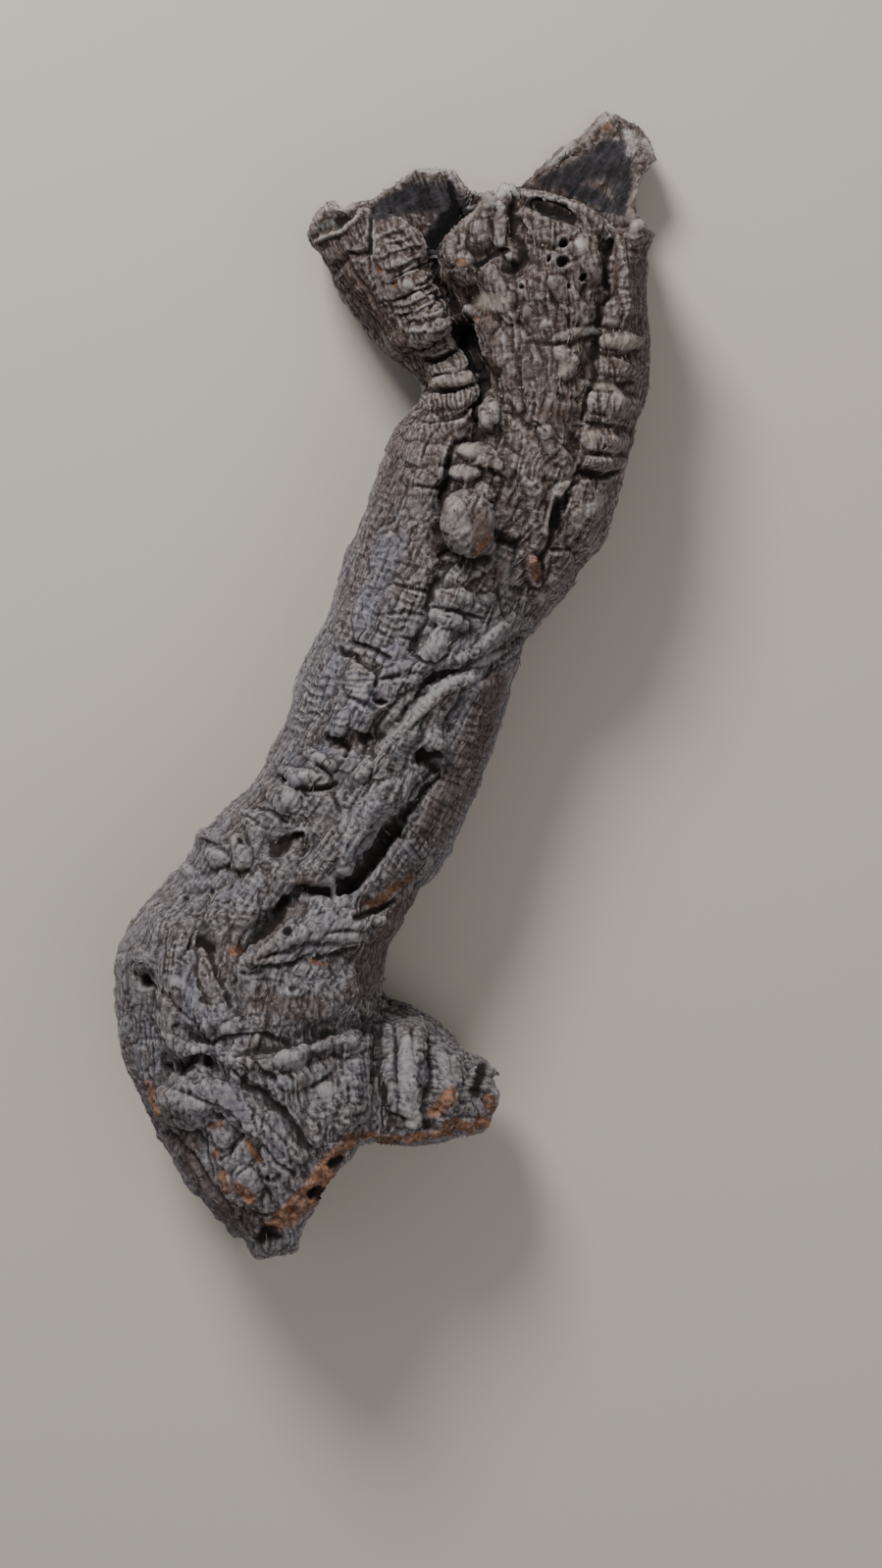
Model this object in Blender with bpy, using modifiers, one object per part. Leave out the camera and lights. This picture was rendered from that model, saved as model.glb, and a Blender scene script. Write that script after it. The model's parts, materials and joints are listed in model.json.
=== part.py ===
"""Hollow cork branch: a bark tube with two limbs at its top and two at its foot.

The branch lies on its back. X runs across it, Y from its foot to its top, and Z up through its
front. Outlines and grooves are placed by pixels of a drawing of its front, half a millimetre
each; depths, walls and gaps are real sizes in metres.
"""
import math

import bmesh
import bpy
import numpy as np
from mathutils import Vector, noise

# Driving dimensions, in metres
BRANCH_LENGTH = 0.587       # from the tongue's tip to the stump's tip, as drawn
BARK_WALL = 0.013           # thickness of the bark round the hollow
SPUR_OPEN = 18              # pixels that the spur's hollow lies lower, which opens its underside
FORK_GAP = 0.0003           # air between two limbs where they part
FORM_VOXEL = 0.0026         # fineness of the joined form before it is thinned
HOLLOW_VOXEL = 0.004
BARK_FACES = 6200           # triangles of the outside after thinning
HOLLOW_FACES = 1100         # triangles of the hollow after thinning
SHORTEST_EDGE = 0.0002
CUTTER_TOP = 0.17           # above the branch's front everywhere
GROUND_HEIGHTS = (-0.03, 0.18)
RING_SIDES = 48
RING_STEP = 0.008           # distance between the rings of a tube
ROUNDNESS = 2.35            # 2 is an ellipse, more is squarer

# The drawing of the front: its pixels and the point that it is seen from
DRAWING_SIZE = (899, 1599)
DRAWING_LENGTH = 1173.0     # the branch's length in pixels
PIXEL = BRANCH_LENGTH / DRAWING_LENGTH
PLAN_CENTRE = (396.9, 689.5)
EYE_PIXEL = (449.5, 799.5)  # the pixel straight under the eye
EYE_HEIGHT = 1.05
TRUE_HEIGHT = 0.055         # height at which a pixel is its full size: lower parts lie further out
MM = 0.001

# Rows of the stem and its flared foot: pixel row, left edge, right edge, back and front in mm
STEM_ROWS = [
    (1330, 264, 400, 22, 92), (1285, 256, 400, 14, 98), (1250, 238, 402, 8, 106),
    (1205, 199, 404, 2, 114), (1160, 172, 406, -1, 119), (1130, 160, 404, -2, 120),
    (1105, 143, 402, -2, 121), (1065, 130, 394, -2, 121), (1020, 125, 388, -1, 120),
    (985, 121, 390, 0, 118), (955, 126, 396, 1, 115), (930, 149, 412, 2, 112),
    (890, 186, 439, 4, 106), (850, 214, 463, 5, 103), (800, 254, 485, 6, 101),
    (750, 288, 502, 7, 99), (700, 303, 517, 7, 98), (650, 324, 530, 7, 98),
    (600, 346, 575, 6, 99), (560, 361, 604, 5, 100), (520, 373, 622, 4, 101),
    (480, 387, 633, 3, 101), (440, 405, 642, 3, 98), (400, 440, 636, 6, 90), (370, 465, 620, 12, 80),
]
# Rows of the upper right limb, the knob and the tongue behind it
KNOB_ROWS = [
    (560, 480, 592, 8, 96), (520, 470, 616, 3, 101), (480, 474, 633, 1, 102),
    (440, 487, 645, 0, 103), (400, 494, 654, -1, 104), (350, 480, 657, -2, 106),
    (300, 456, 657, -2, 108), (265, 443, 657, -2, 108), (235, 446, 657, -2, 103),
    (205, 455, 660, -1, 94), (165, 470, 674, 0, 82), (125, 480, 680, 1, 74), (85, 490, 686, 2, 70),
]
# Rings of the upper left limb: centre, half width, turn of the ring, back and front in mm
LEFT_LIMB_RINGS = [
    (500, 480, 58, 26, 6, 90), (474, 405, 50, 26, 6, 88), (467, 378, 37, 26, 9, 82),
    (458, 352, 42, 26, 4, 88), (447, 324, 55, 26, 2, 91), (436, 290, 68, 26, 0, 92),
    (422, 255, 80, 26, -1, 90), (408, 222, 90, 26, 0, 86), (393, 186, 95, 26, 2, 80),
    (378, 150, 98, 26, 4, 76),
]
# Rings of the lower right spur, from inside the foot to its tip
SPUR_RINGS = [
    (320, 1100, 76, 90, 4, 104), (360, 1104, 78, 90, 4, 104), (400, 1110, 80, 90, 5, 101),
    (440, 1120, 68, 90, 10, 93), (472, 1128, 45, 90, 20, 82), (496, 1126, 30, 90, 30, 72),
    (512, 1120, 16, 90, 40, 62),
]
SPUR_HOLLOW_RINGS = 5       # rings that the spur's hollow goes through
# Where the branch ends, as seen from the front: its broken edges at the top and at the foot
TOP_EDGE = [
    (250, 330), (296, 262), (312, 244), (314, 236), (325, 216), (337, 208), (348, 213), (361, 209),
    (384, 200), (397, 192), (408, 181), (424, 172), (440, 170), (463, 172), (472, 188), (488, 197),
    (505, 193), (530, 188), (558, 167), (571, 150), (592, 140), (602, 127), (618, 111), (634, 121),
    (651, 127), (664, 143), (670, 161), (657, 176), (650, 196), (646, 212), (656, 228), (700, 262),
]
FOOT_EDGE = [
    (560, 1060), (510, 1098), (494, 1092), (509, 1117), (501, 1133), (496, 1155), (470, 1156),
    (455, 1163), (418, 1169), (384, 1164), (364, 1168), (354, 1185), (338, 1200), (325, 1222),
    (316, 1237), (306, 1256), (301, 1277), (282, 1281), (261, 1284), (248, 1262), (200, 1268),
]
# Pixels well beside the branch, where no edge is trimmed
CLEAR_RIGHT = [(760, 600), (620, 900)]
CLEAR_LEFT = [(60, 1200), (40, 900), (200, 600)]
# The left limb's mouth: its front rim is broken lower than its back rim
MOUTH_CUT = [
    (352, 196), (366, 216), (384, 217), (397, 220), (411, 226), (428, 234), (435, 249), (441, 264),
    (448, 248), (460, 235), (474, 223), (484, 214), (491, 200), (480, 140), (360, 140),
]
MOUTH_CUT_FROM = 0.040
# The right limb's front ends at the knob's rim, and its back goes on as the tongue
RIM_CUT = [
    (484, 214), (494, 206), (505, 196), (516, 190), (529, 193), (546, 196), (563, 200), (580, 206),
    (597, 212), (612, 221), (622, 232), (636, 234), (650, 228), (700, 232), (720, 60), (450, 60),
]
RIM_CUT_FROM = 0.031
SLIT_CUT = [
    (531, 206), (546, 203), (564, 206), (577, 211), (590, 220), (588, 226), (571, 221), (550, 217),
    (542, 212),
]
SLIT_CUT_FROM = 0.045

# Relief of the front. Each stroke: height in mm (less than zero is a groove), half width in
# pixels, and the pixels that it runs through
STROKES = [
    (-12, 9, [(441, 264), (451, 295), (471, 327), (481, 346)]),
    (-9, 8, [(484, 352), (490, 379), (495, 398), (487, 428)]),
    (-8, 8, [(486, 436), (461, 463), (455, 492), (449, 523), (447, 548), (456, 572)]),
    (-8, 7, [(621, 246), (616, 274), (609, 327), (603, 374), (593, 413), (586, 450), (588, 482)]),
    (-6, 6, [(588, 484), (573, 508), (562, 543), (553, 560), (548, 592)]),
    (-5, 7, [(453, 580), (436, 613), (428, 640), (419, 667)]),
    (-9, 8, [(534, 650), (496, 680), (462, 684), (436, 694), (412, 728), (392, 748)]),
    (-8, 8, [(447, 788), (430, 807), (414, 830), (400, 850), (376, 878), (350, 908)]),
    (-5, 5, [(348, 660), (368, 667), (388, 680)]),
    (-6, 7, [(332, 758), (356, 754), (380, 762)]),
    (-5, 6, [(424, 770), (454, 773)]),
    (-5, 5, [(284, 795), (312, 799), (338, 800)]),
    (-7, 9, [(277, 860), (293, 858), (310, 864)]),
    (-6, 8, [(300, 912), (324, 908), (342, 906)]),
    (-6, 7, [(372, 926), (398, 914), (424, 902)]),
    (-9, 14, [(141, 1000), (142, 1040), (148, 1072), (154, 1105)]),
    (-8, 11, [(293, 916), (272, 940), (246, 968)]),
    (-6, 7, [(207, 960), (222, 985), (236, 1024)]),
    (-7, 7, [(185, 1056), (220, 1066), (255, 1071), (300, 1062), (334, 1050), (372, 1044)]),
    (-8, 9, [(158, 1092), (186, 1084), (218, 1086)]),
    (-5, 7, [(216, 1090), (254, 1102), (284, 1128), (304, 1158), (322, 1184)]),
    (-4, 6, [(214, 1134), (244, 1150), (272, 1172), (306, 1196)]),
    (-4, 5, [(222, 1183), (246, 1162), (262, 1180)]),
    (-6, 6, [(386, 1046), (386, 1090), (392, 1126), (398, 1152)]),
    (-4, 5, [(438, 1056), (438, 1100), (438, 1150)]),
    (-6, 6, [(402, 368), (430, 358), (458, 350), (480, 340)]),
    (4, 9, [(396, 350), (424, 340), (452, 330), (470, 322)]),
    (-6, 5, [(404, 284), (437, 266)]),
    (-4, 4, [(400, 305), (444, 290)]),
    (-4, 4, [(410, 324), (456, 304)]),
    (-6, 7, [(478, 250), (502, 262), (526, 274)]),
    (-5, 7, [(524, 202), (524, 236), (534, 270)]),
    (-8, 12, [(462, 294), (480, 306)]),
    (-5, 5, [(588, 486), (606, 484), (624, 480)]),
    (-3, 5, [(614, 327), (650, 330)]),
    (-3, 5, [(606, 392), (646, 396)]),
    (-3, 5, [(598, 434), (640, 440)]),
    (-4, 5, [(440, 398), (484, 396)]),
    (5, 10, [(526, 628), (504, 642), (486, 662), (456, 674)]),
    (6, 11, [(524, 666), (488, 690), (456, 702), (430, 726), (398, 760), (372, 790)]),
    (5, 16, [(384, 790), (372, 830), (346, 872), (322, 890)]),
    (6, 17, [(250, 982), (290, 958), (340, 946), (384, 938)]),
    (4, 9, [(196, 1072), (232, 1078), (280, 1078), (340, 1062)]),
    (5, 13, [(180, 962), (196, 1004), (214, 1040)]),
    (5, 15, [(176, 1116), (226, 1118), (258, 1146), (290, 1184)]),
    (5, 12, [(350, 1054), (356, 1090), (352, 1140)]),
    (5, 14, [(414, 1056), (416, 1100), (418, 1150)]),
    (4, 7, [(594, 470), (576, 496), (564, 528), (556, 560), (544, 584)]),
    (5, 12, [(374, 688), (370, 716), (352, 742)]),
    (4, 10, [(468, 600), (452, 640), (438, 664)]),
    (5, 14, [(462, 242), (470, 272), (494, 330), (512, 372)]),
    (4, 14, [(560, 262), (574, 320), (566, 380), (556, 430)]),
    (4, 9, [(634, 240), (636, 320), (628, 400), (612, 470)]),
    (4, 11, [(420, 236), (412, 262), (424, 300), (446, 336)]),
]
# Lumps: centre, half size across and along the branch in pixels, lean in degrees, height in mm
LUMPS = [
    (477, 535, 27, 33, 0, 13), (501, 423, 15, 14, 0, 6), (488, 465, 23, 12, -8, 6),
    (474, 485, 16, 8, -10, 4), (442, 755, 15, 10, 20, 5), (292, 815, 21, 14, 30, 5),
    (328, 776, 14, 7, 30, 4), (312, 796, 22, 9, 20, 5), (220, 860, 18, 9, -20, 5),
    (245, 874, 12, 16, 20, 5), (216, 878, 11, 9, 0, 4), (648, 240, 12, 12, 0, 6),
    (505, 208, 16, 12, 30, 5), (462, 262, 16, 20, 20, 5), (602, 262, 18, 26, 10, 5),
    (548, 292, 26, 20, 0, 4), (462, 386, 24, 8, -15, 4), (462, 410, 26, 8, -15, 4),
    (544, 480, 20, 30, 10, 5), (600, 540, 18, 36, 30, 4), (340, 858, 12, 14, 20, 4),
    (398, 812, 18, 20, 20, 4), (190, 1130, 30, 18, 0, 4), (243, 1210, 26, 22, 30, 4),
    (330, 1020, 40, 24, 0, 3), (172, 940, 26, 14, -30, 3), (456, 1124, 14, 18, 0, 3),
]

LUMP_FULLNESS = 1.25        # more makes a lump's sides steeper

# Relief all round, which the back shows by itself
STRAND_HEIGHT = 0.0040      # long strands of bark
STRAND_SPACING = 0.026
STRAND_STRETCH = 4          # how much longer than wide a strand is
STRAND_LEAN = 0.35
STRAND_SHARPNESS = 2.2
LUMP_HEIGHT = 0.0056        # broad uneven swellings
LUMP_SPACING = 0.045
NOISE_SEED = 17.0
FRONT_TURN = 0.25           # slope of the skin within which the front's relief fades out
FRONT_SHARE = 0.35          # share of the relief all round that the front keeps

# Each limb's ground on the drawing, cut out of the whole branch
FORK_LINE = [
    (441, 264), (451, 295), (471, 327), (481, 346), (490, 379), (495, 398), (487, 436),
]
MOUTH_LINE = [(470, 60), (484, 190), (480, 208), (462, 228), (446, 246), (441, 264)]
LEFT_FORK_END = (340, 420)
RIGHT_FORK_END = (700, 500)
FOOT_LINE = [(110, 868), (404, 984)]
SPUR_LINE = [(404, 984), (386, 1040), (386, 1090), (392, 1126), (388, 1240)]
FAR = 900                   # pixels past the drawing on every side
SHARPEST_CORNER = 0.4       # a ground's corner moves in no further than a gap divided by this

BARK_COLOURS = {
    "stem": (0.150, 0.130, 0.120),
    "upper_left_limb": (0.165, 0.140, 0.125),
    "upper_right_limb": (0.150, 0.118, 0.098),
    "lower_left_limb": (0.135, 0.125, 0.122),
    "lower_right_spur": (0.170, 0.150, 0.135),
}
BARK_ROUGHNESS = 0.92


def plan(px, py, z=TRUE_HEIGHT):
    """Point at height z that the drawing shows at a pixel."""
    nearness = (EYE_HEIGHT - z) / (EYE_HEIGHT - TRUE_HEIGHT)
    x = (EYE_PIXEL[0] - PLAN_CENTRE[0]) + (px - EYE_PIXEL[0]) * nearness
    y = (PLAN_CENTRE[1] - EYE_PIXEL[1]) + (EYE_PIXEL[1] - py) * nearness
    return Vector((x * PIXEL, y * PIXEL, z))


def drawn_at(points):
    """Pixels of the drawing at which it shows an array of points."""
    nearness = (EYE_HEIGHT - TRUE_HEIGHT) / (EYE_HEIGHT - points[:, 2])
    across = points[:, 0] / PIXEL + PLAN_CENTRE[0] - EYE_PIXEL[0]
    along = PLAN_CENTRE[1] - EYE_PIXEL[1] - points[:, 1] / PIXEL
    return np.stack([EYE_PIXEL[0] + across * nearness, EYE_PIXEL[1] + along * nearness], axis=1)


def rings_from_rows(rows):
    """Rings that lie straight across the drawing, from rows of left and right edges."""
    return [((left + right) / 2, row, (right - left) / 2, 0, back, front)
            for row, left, right, back, front in rows]


def hollow_rings(rings, lower=0):
    """Rings of the hollow inside a tube's own rings, a bark's thickness in."""
    inset = BARK_WALL / PIXEL
    depth = BARK_WALL / MM
    return [(px, py + lower, half_width - inset, turn, back + depth, front - depth)
            for px, py, half_width, turn, back, front in rings]


def through(values, place):
    """Smooth value at a fractional place in a list of equal tuples."""
    last = len(values) - 1
    low = min(int(place), last - 1)
    t = place - low
    before, start, end, after = (
        np.array(values[min(max(low + k, 0), last)], dtype=float) for k in (-1, 0, 1, 2))
    return 0.5 * (2 * start + (end - before) * t + (2 * before - 5 * start + 4 * end - after) * t ** 2
                  + (3 * start - before - 3 * end + after) * t ** 3)


def ring_points(centre_x, centre_y, half_width, turn, back, front):
    """Points round one ring of a tube, squarer than an ellipse."""
    centre = plan(centre_x, centre_y)
    middle = (back + front) / 2 * MM
    half_depth = (front - back) / 2 * MM
    reach = half_width * PIXEL
    across = Vector((math.cos(math.radians(turn)), math.sin(math.radians(turn)), 0))
    points = []
    for k in range(RING_SIDES):
        angle = 2 * math.pi * k / RING_SIDES
        c, s = math.cos(angle), math.sin(angle)
        out = (abs(c) ** ROUNDNESS + abs(s) ** ROUNDNESS) ** (-1 / ROUNDNESS)
        point = Vector((centre.x, centre.y, middle)) + across * (reach * out * c)
        point.z += half_depth * out * s
        points.append(point)
    return points


def tube(name, rings):
    """Closed tube lofted through unlike rings."""
    bm = bmesh.new()
    loops = []
    for k in range(len(rings) - 1):
        length = (plan(*rings[k + 1][:2]) - plan(*rings[k][:2])).length
        steps = max(1, round(length / RING_STEP))
        for step in range(steps + (k == len(rings) - 2)):
            points = ring_points(*through(rings, k + step / steps))
            loops.append([bm.verts.new(point) for point in points])
    for lower, upper in zip(loops, loops[1:]):
        for k in range(RING_SIDES):
            j = (k + 1) % RING_SIDES
            bm.faces.new((lower[k], lower[j], upper[j], upper[k]))
    bm.faces.new(list(reversed(loops[0])))
    bm.faces.new(loops[-1])
    bmesh.ops.recalc_face_normals(bm, faces=bm.faces)
    return new_object(name, bm)


def new_object(name, bm):
    """Object made of a bmesh, in the working collection."""
    mesh = bpy.data.meshes.new(name)
    bm.to_mesh(mesh)
    bm.free()
    made = bpy.data.objects.new(name, mesh)
    cutters.objects.link(made)
    made.hide_render = True
    made.display_type = 'WIRE'
    return made


def block(name, outline, low, high):
    """Solid whose walls run from an outline of the drawing towards the eye."""
    bm = bmesh.new()
    floor = bm.faces.new([bm.verts.new(plan(px, py, low)) for px, py in outline])
    risen = bmesh.ops.extrude_face_region(bm, geom=[floor])["geom"]
    corners = [item for item in risen if isinstance(item, bmesh.types.BMVert)]
    pixels = drawn_at(np.array([corner.co[:] for corner in corners]))
    for corner, pixel in zip(corners, pixels):
        corner.co = plan(float(pixel[0]), float(pixel[1]), high)
    bmesh.ops.recalc_face_normals(bm, faces=bm.faces)
    return new_object(name, bm)


def settled(thing):
    """Apply an object's modifiers to its mesh."""
    bpy.context.view_layer.update()
    graph = bpy.context.evaluated_depsgraph_get()
    mesh = bpy.data.meshes.new_from_object(thing.evaluated_get(graph))
    thing.modifiers.clear()
    thing.data = mesh
    return thing


def reskinned(thing, voxel):
    """Give a solid one even closed skin, with no folds or inner faces."""
    skin = thing.modifiers.new("skin", 'REMESH')
    skin.mode = 'VOXEL'
    skin.voxel_size = voxel
    return settled(thing)


def joined(name, tubes, voxel):
    """One closed skin round several overlapping tubes."""
    bm = bmesh.new()
    for one in tubes:
        bm.from_mesh(one.data)
        bpy.data.objects.remove(one)
    return reskinned(new_object(name, bm), voxel)


def combine(thing, cutter, operation):
    """Cut or trim a solid with another, and drop the cutter."""
    cut = thing.modifiers.new(operation.lower(), 'BOOLEAN')
    cut.operation = operation
    cut.solver = 'EXACT'
    cut.object = cutter
    settled(thing)
    bpy.data.objects.remove(cutter)


def coordinates(mesh, of="co"):
    """Vertex positions, or normals, as an array."""
    items = mesh.vertices if of == "co" else mesh.vertex_normals
    values = np.empty(len(items) * 3, dtype=np.float32)
    items.foreach_get("co" if of == "co" else "vector", values)
    return values.reshape(-1, 3).astype(float)


def distance_to_line(pixels, line):
    """Distance in pixels from each point to a line of straight stretches."""
    best = np.full(len(pixels), np.inf)
    for start, end in zip(line, line[1:]):
        start = np.array(start, dtype=float)
        run = np.array(end, dtype=float) - start
        t = np.clip(((pixels - start) @ run) / (run @ run), 0, 1)
        best = np.minimum(best, np.linalg.norm(pixels - start - t[:, None] * run, axis=1))
    return best


def front_relief(pixels):
    """Height in metres that the front's strokes and lumps add at each pixel."""
    height = np.zeros(len(pixels))
    for rise, half_width, line in STROKES:
        spread = distance_to_line(pixels, line) / half_width
        height += rise * MM * np.exp(-spread ** 2)
    for px, py, across, along, lean, rise in LUMPS:
        c, s = math.cos(math.radians(lean)), math.sin(math.radians(lean))
        offset = pixels - np.array((px, py))
        u = (offset[:, 0] * c - offset[:, 1] * s) / across
        v = (offset[:, 0] * s + offset[:, 1] * c) / along
        reach = np.clip(LUMP_FULLNESS - u ** 2 - v ** 2, 0, 1)
        height += rise * MM * np.sqrt(reach)
    return height


def relief_all_round(points):
    """Height in metres of the long strands and swellings that run round the branch."""
    height = np.zeros(len(points))
    for k, (x, y, z) in enumerate(points):
        along = (y + STRAND_LEAN * x) / STRAND_STRETCH
        strand = noise.noise(Vector((x, along, z)) / STRAND_SPACING + Vector((0, NOISE_SEED, 0)))
        lump = noise.noise(Vector((x, y, z)) / LUMP_SPACING + Vector((NOISE_SEED, 0, 0)))
        height[k] = STRAND_HEIGHT * (1 - STRAND_SHARPNESS * abs(strand)) + LUMP_HEIGHT * lump
    return height


def carve(thing):
    """Push the skin in and out to give it its bark."""
    mesh = thing.data
    points = coordinates(mesh)
    normals = coordinates(mesh, of="normal")
    facing = np.clip((normals[:, 2] + FRONT_TURN) / (2 * FRONT_TURN), 0, 1)
    share = 1 - (1 - FRONT_SHARE) * facing
    height = front_relief(drawn_at(points)) * facing + relief_all_round(points) * share
    points += normals * height[:, None]
    mesh.vertices.foreach_set("co", points.astype(np.float32).ravel())
    mesh.update()


def thinned(thing, faces):
    """Spend fewer triangles where the skin is plain."""
    count = sum(len(face.vertices) - 2 for face in thing.data.polygons)
    if count > faces:
        fewer = thing.modifiers.new("thin", 'DECIMATE')
        fewer.ratio = faces / count
        settled(thing)


def cleaned(thing):
    """Close up edges too short to matter, and set what rests on the floor exactly on it."""
    bm = bmesh.new()
    bm.from_mesh(thing.data)
    for corner in bm.verts:
        if corner.co.z < SHORTEST_EDGE:
            corner.co.z = 0
    bmesh.ops.dissolve_degenerate(bm, edges=bm.edges, dist=SHORTEST_EDGE)
    bmesh.ops.triangulate(bm, faces=bm.faces)
    bm.to_mesh(thing.data)
    bm.free()


def whole_branch():
    """The branch in one piece, before its limbs are parted."""
    stem = rings_from_rows(STEM_ROWS)
    knob = rings_from_rows(KNOB_ROWS)
    branch = joined("bark_form", [
        tube("stem_form", stem),
        tube("knob_form", knob),
        tube("left_limb_form", LEFT_LIMB_RINGS),
        tube("spur_form", SPUR_RINGS),
    ], FORM_VOXEL)
    carve(branch)
    reskinned(branch, FORM_VOXEL)
    hollow = joined("hollow", [
        tube("bore", hollow_rings(stem)),
        tube("knob_hollow", hollow_rings(knob[1:])),
        tube("left_hollow", hollow_rings(LEFT_LIMB_RINGS)),
        tube("spur_hollow", hollow_rings(SPUR_RINGS[:SPUR_HOLLOW_RINGS], SPUR_OPEN)),
    ], HOLLOW_VOXEL)
    edge = TOP_EDGE + CLEAR_RIGHT + FOOT_EDGE + CLEAR_LEFT
    combine(branch, block("outline", edge, 0, CUTTER_TOP), 'INTERSECT')
    combine(branch, block("mouth_cut", MOUTH_CUT, MOUTH_CUT_FROM, CUTTER_TOP), 'DIFFERENCE')
    combine(branch, block("rim_cut", RIM_CUT, RIM_CUT_FROM, CUTTER_TOP), 'DIFFERENCE')
    thinned(branch, BARK_FACES)
    thinned(hollow, HOLLOW_FACES)
    combine(branch, hollow, 'DIFFERENCE')
    combine(branch, block("slit_cut", SLIT_CUT, SLIT_CUT_FROM, CUTTER_TOP), 'DIFFERENCE')
    cleaned(branch)
    return branch


def grounds():
    """Outline of each limb's ground on the drawing. Neighbours share their lines."""
    left, right, top, foot = -FAR, FAR + DRAWING_SIZE[0], -FAR, FAR + DRAWING_SIZE[1]
    fork = FORK_LINE[-1]
    split = (MOUTH_LINE[0][0], top)
    under = (SPUR_LINE[-1][0], foot)
    left_side = (left, LEFT_FORK_END[1])
    right_side = (right, RIGHT_FORK_END[1])
    foot_left, foot_right = FOOT_LINE
    return {
        "upper_left_limb": MOUTH_LINE + FORK_LINE[1:] + [LEFT_FORK_END, left_side, (left, top), split],
        "upper_right_limb": [split, (right, top), right_side, RIGHT_FORK_END]
                            + FORK_LINE[::-1] + MOUTH_LINE[::-1][1:],
        "stem": [fork, RIGHT_FORK_END, right_side, (right, foot_right[1]), foot_right, foot_left,
                 (left, foot_left[1]), left_side, LEFT_FORK_END],
        "lower_left_limb": [(left, foot_left[1])] + FOOT_LINE + SPUR_LINE[1:] + [under, (left, foot)],
        "lower_right_spur": [foot_right, (right, foot_right[1]), (right, foot), under]
                            + SPUR_LINE[::-1][:-1],
    }


def shrunk(outline, gap):
    """Outline moved inwards by a gap in pixels, its corners kept."""
    area = sum(a[0] * b[1] - b[0] * a[1] for a, b in zip(outline, outline[1:] + outline[:1]))
    side = 1 if area > 0 else -1
    moved = []
    for k, here in enumerate(outline):
        before = Vector(outline[k - 1])
        here = Vector(here)
        after = Vector(outline[(k + 1) % len(outline)])
        into = []
        for run in ((here - before).normalized(), (after - here).normalized()):
            into.append(Vector((-run.y, run.x)) * side)
        bisector = (into[0] + into[1]).normalized()
        moved.append(tuple(here + bisector * gap / max(SHARPEST_CORNER, bisector.dot(into[0]))))
    return moved


def bark(name):
    """Plain bark finish for one limb."""
    material = bpy.data.materials.new(name + "_bark")
    material.use_nodes = True
    shader = material.node_tree.nodes["Principled BSDF"]
    shader.inputs["Base Color"].default_value = (*BARK_COLOURS[name], 1)
    shader.inputs["Roughness"].default_value = BARK_ROUGHNESS
    shader.inputs["Metallic"].default_value = 0
    return material


for old in list(bpy.data.objects):
    bpy.data.objects.remove(old)
parts = bpy.data.collections.new("cork_branch")
cutters = bpy.data.collections.new("cutters")
bpy.context.scene.collection.children.link(parts)
bpy.context.scene.collection.children.link(cutters)

branch = whole_branch()
for name, ground in grounds().items():
    limb = bpy.data.objects.new(name, branch.data.copy())
    limb.data.materials.clear()
    limb.data.materials.append(bark(name))
    parts.objects.link(limb)
    region = block(name + "_ground", shrunk(ground, FORK_GAP / 2 / PIXEL), *GROUND_HEIGHTS)
    cut = limb.modifiers.new("fork", 'BOOLEAN')
    cut.operation = 'INTERSECT'
    cut.solver = 'EXACT'
    cut.object = region
bpy.data.objects.remove(branch)
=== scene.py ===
# %% [markdown]
# # A hollow branch of cork bark
# This lesson dresses a plain faceted model of a cork branch with real-looking bark. The branch lies
# on its back on a pale floor, and the camera looks down on it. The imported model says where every
# limb is, so nothing here is moved: the bark is grown on the limbs' own form.

# %% Load the frame
import bpy
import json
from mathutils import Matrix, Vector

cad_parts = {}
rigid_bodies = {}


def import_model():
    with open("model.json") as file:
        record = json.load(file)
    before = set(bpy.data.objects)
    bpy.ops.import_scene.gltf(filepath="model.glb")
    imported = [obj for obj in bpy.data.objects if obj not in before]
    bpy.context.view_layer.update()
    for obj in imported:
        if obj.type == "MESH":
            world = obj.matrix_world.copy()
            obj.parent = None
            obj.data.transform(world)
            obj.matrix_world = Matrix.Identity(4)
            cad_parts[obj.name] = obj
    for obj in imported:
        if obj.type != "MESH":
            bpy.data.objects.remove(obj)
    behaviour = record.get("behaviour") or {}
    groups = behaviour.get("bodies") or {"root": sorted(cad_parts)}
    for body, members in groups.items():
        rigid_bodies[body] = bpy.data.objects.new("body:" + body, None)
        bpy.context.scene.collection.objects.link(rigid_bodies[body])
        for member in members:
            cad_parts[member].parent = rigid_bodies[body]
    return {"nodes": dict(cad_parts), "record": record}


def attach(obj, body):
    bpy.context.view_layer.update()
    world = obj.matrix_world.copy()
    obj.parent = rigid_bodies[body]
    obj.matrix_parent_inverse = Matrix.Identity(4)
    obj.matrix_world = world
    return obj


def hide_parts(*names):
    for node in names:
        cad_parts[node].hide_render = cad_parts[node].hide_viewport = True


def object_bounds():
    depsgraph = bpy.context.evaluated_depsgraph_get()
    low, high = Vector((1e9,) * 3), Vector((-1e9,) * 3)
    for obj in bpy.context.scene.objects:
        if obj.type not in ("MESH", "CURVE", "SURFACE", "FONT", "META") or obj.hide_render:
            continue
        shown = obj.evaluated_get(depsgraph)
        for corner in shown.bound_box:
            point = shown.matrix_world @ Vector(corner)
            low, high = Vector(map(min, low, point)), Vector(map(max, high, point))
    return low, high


for old in list(bpy.data.objects):
    bpy.data.objects.remove(old)
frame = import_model()

import itertools
import json
import math

import bmesh
import numpy as np
from mathutils import Vector
from mathutils.bvhtree import BVHTree
from mathutils.kdtree import KDTree

CAD_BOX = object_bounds()
print("limbs:", sorted(frame["nodes"]), "box:", [tuple(round(v, 3) for v in corner) for corner in CAD_BOX])

# %% [markdown]
# ## Drawing on the front
# Bark has no measurements to write down: every groove is somewhere of its own. So the front is
# drawn in pixels of one picture that is seen from straight above, and these two helpers
# turn a pixel into a place on the branch and a place back into its pixel. The eye is near enough
# for low parts to look smaller, and both helpers take that into account.

# %% The picture and its eye
PIXEL = 0.587 / 1173.0      # metres at the height where a pixel has its full size
PICTURE = (899, 1599)
CENTRE_PIXEL = (396.9, 689.5)
EYE_PIXEL = (449.5, 799.5)
EYE_HEIGHT = 1.05
TRUE_HEIGHT = 0.055
MM = 0.001


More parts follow.
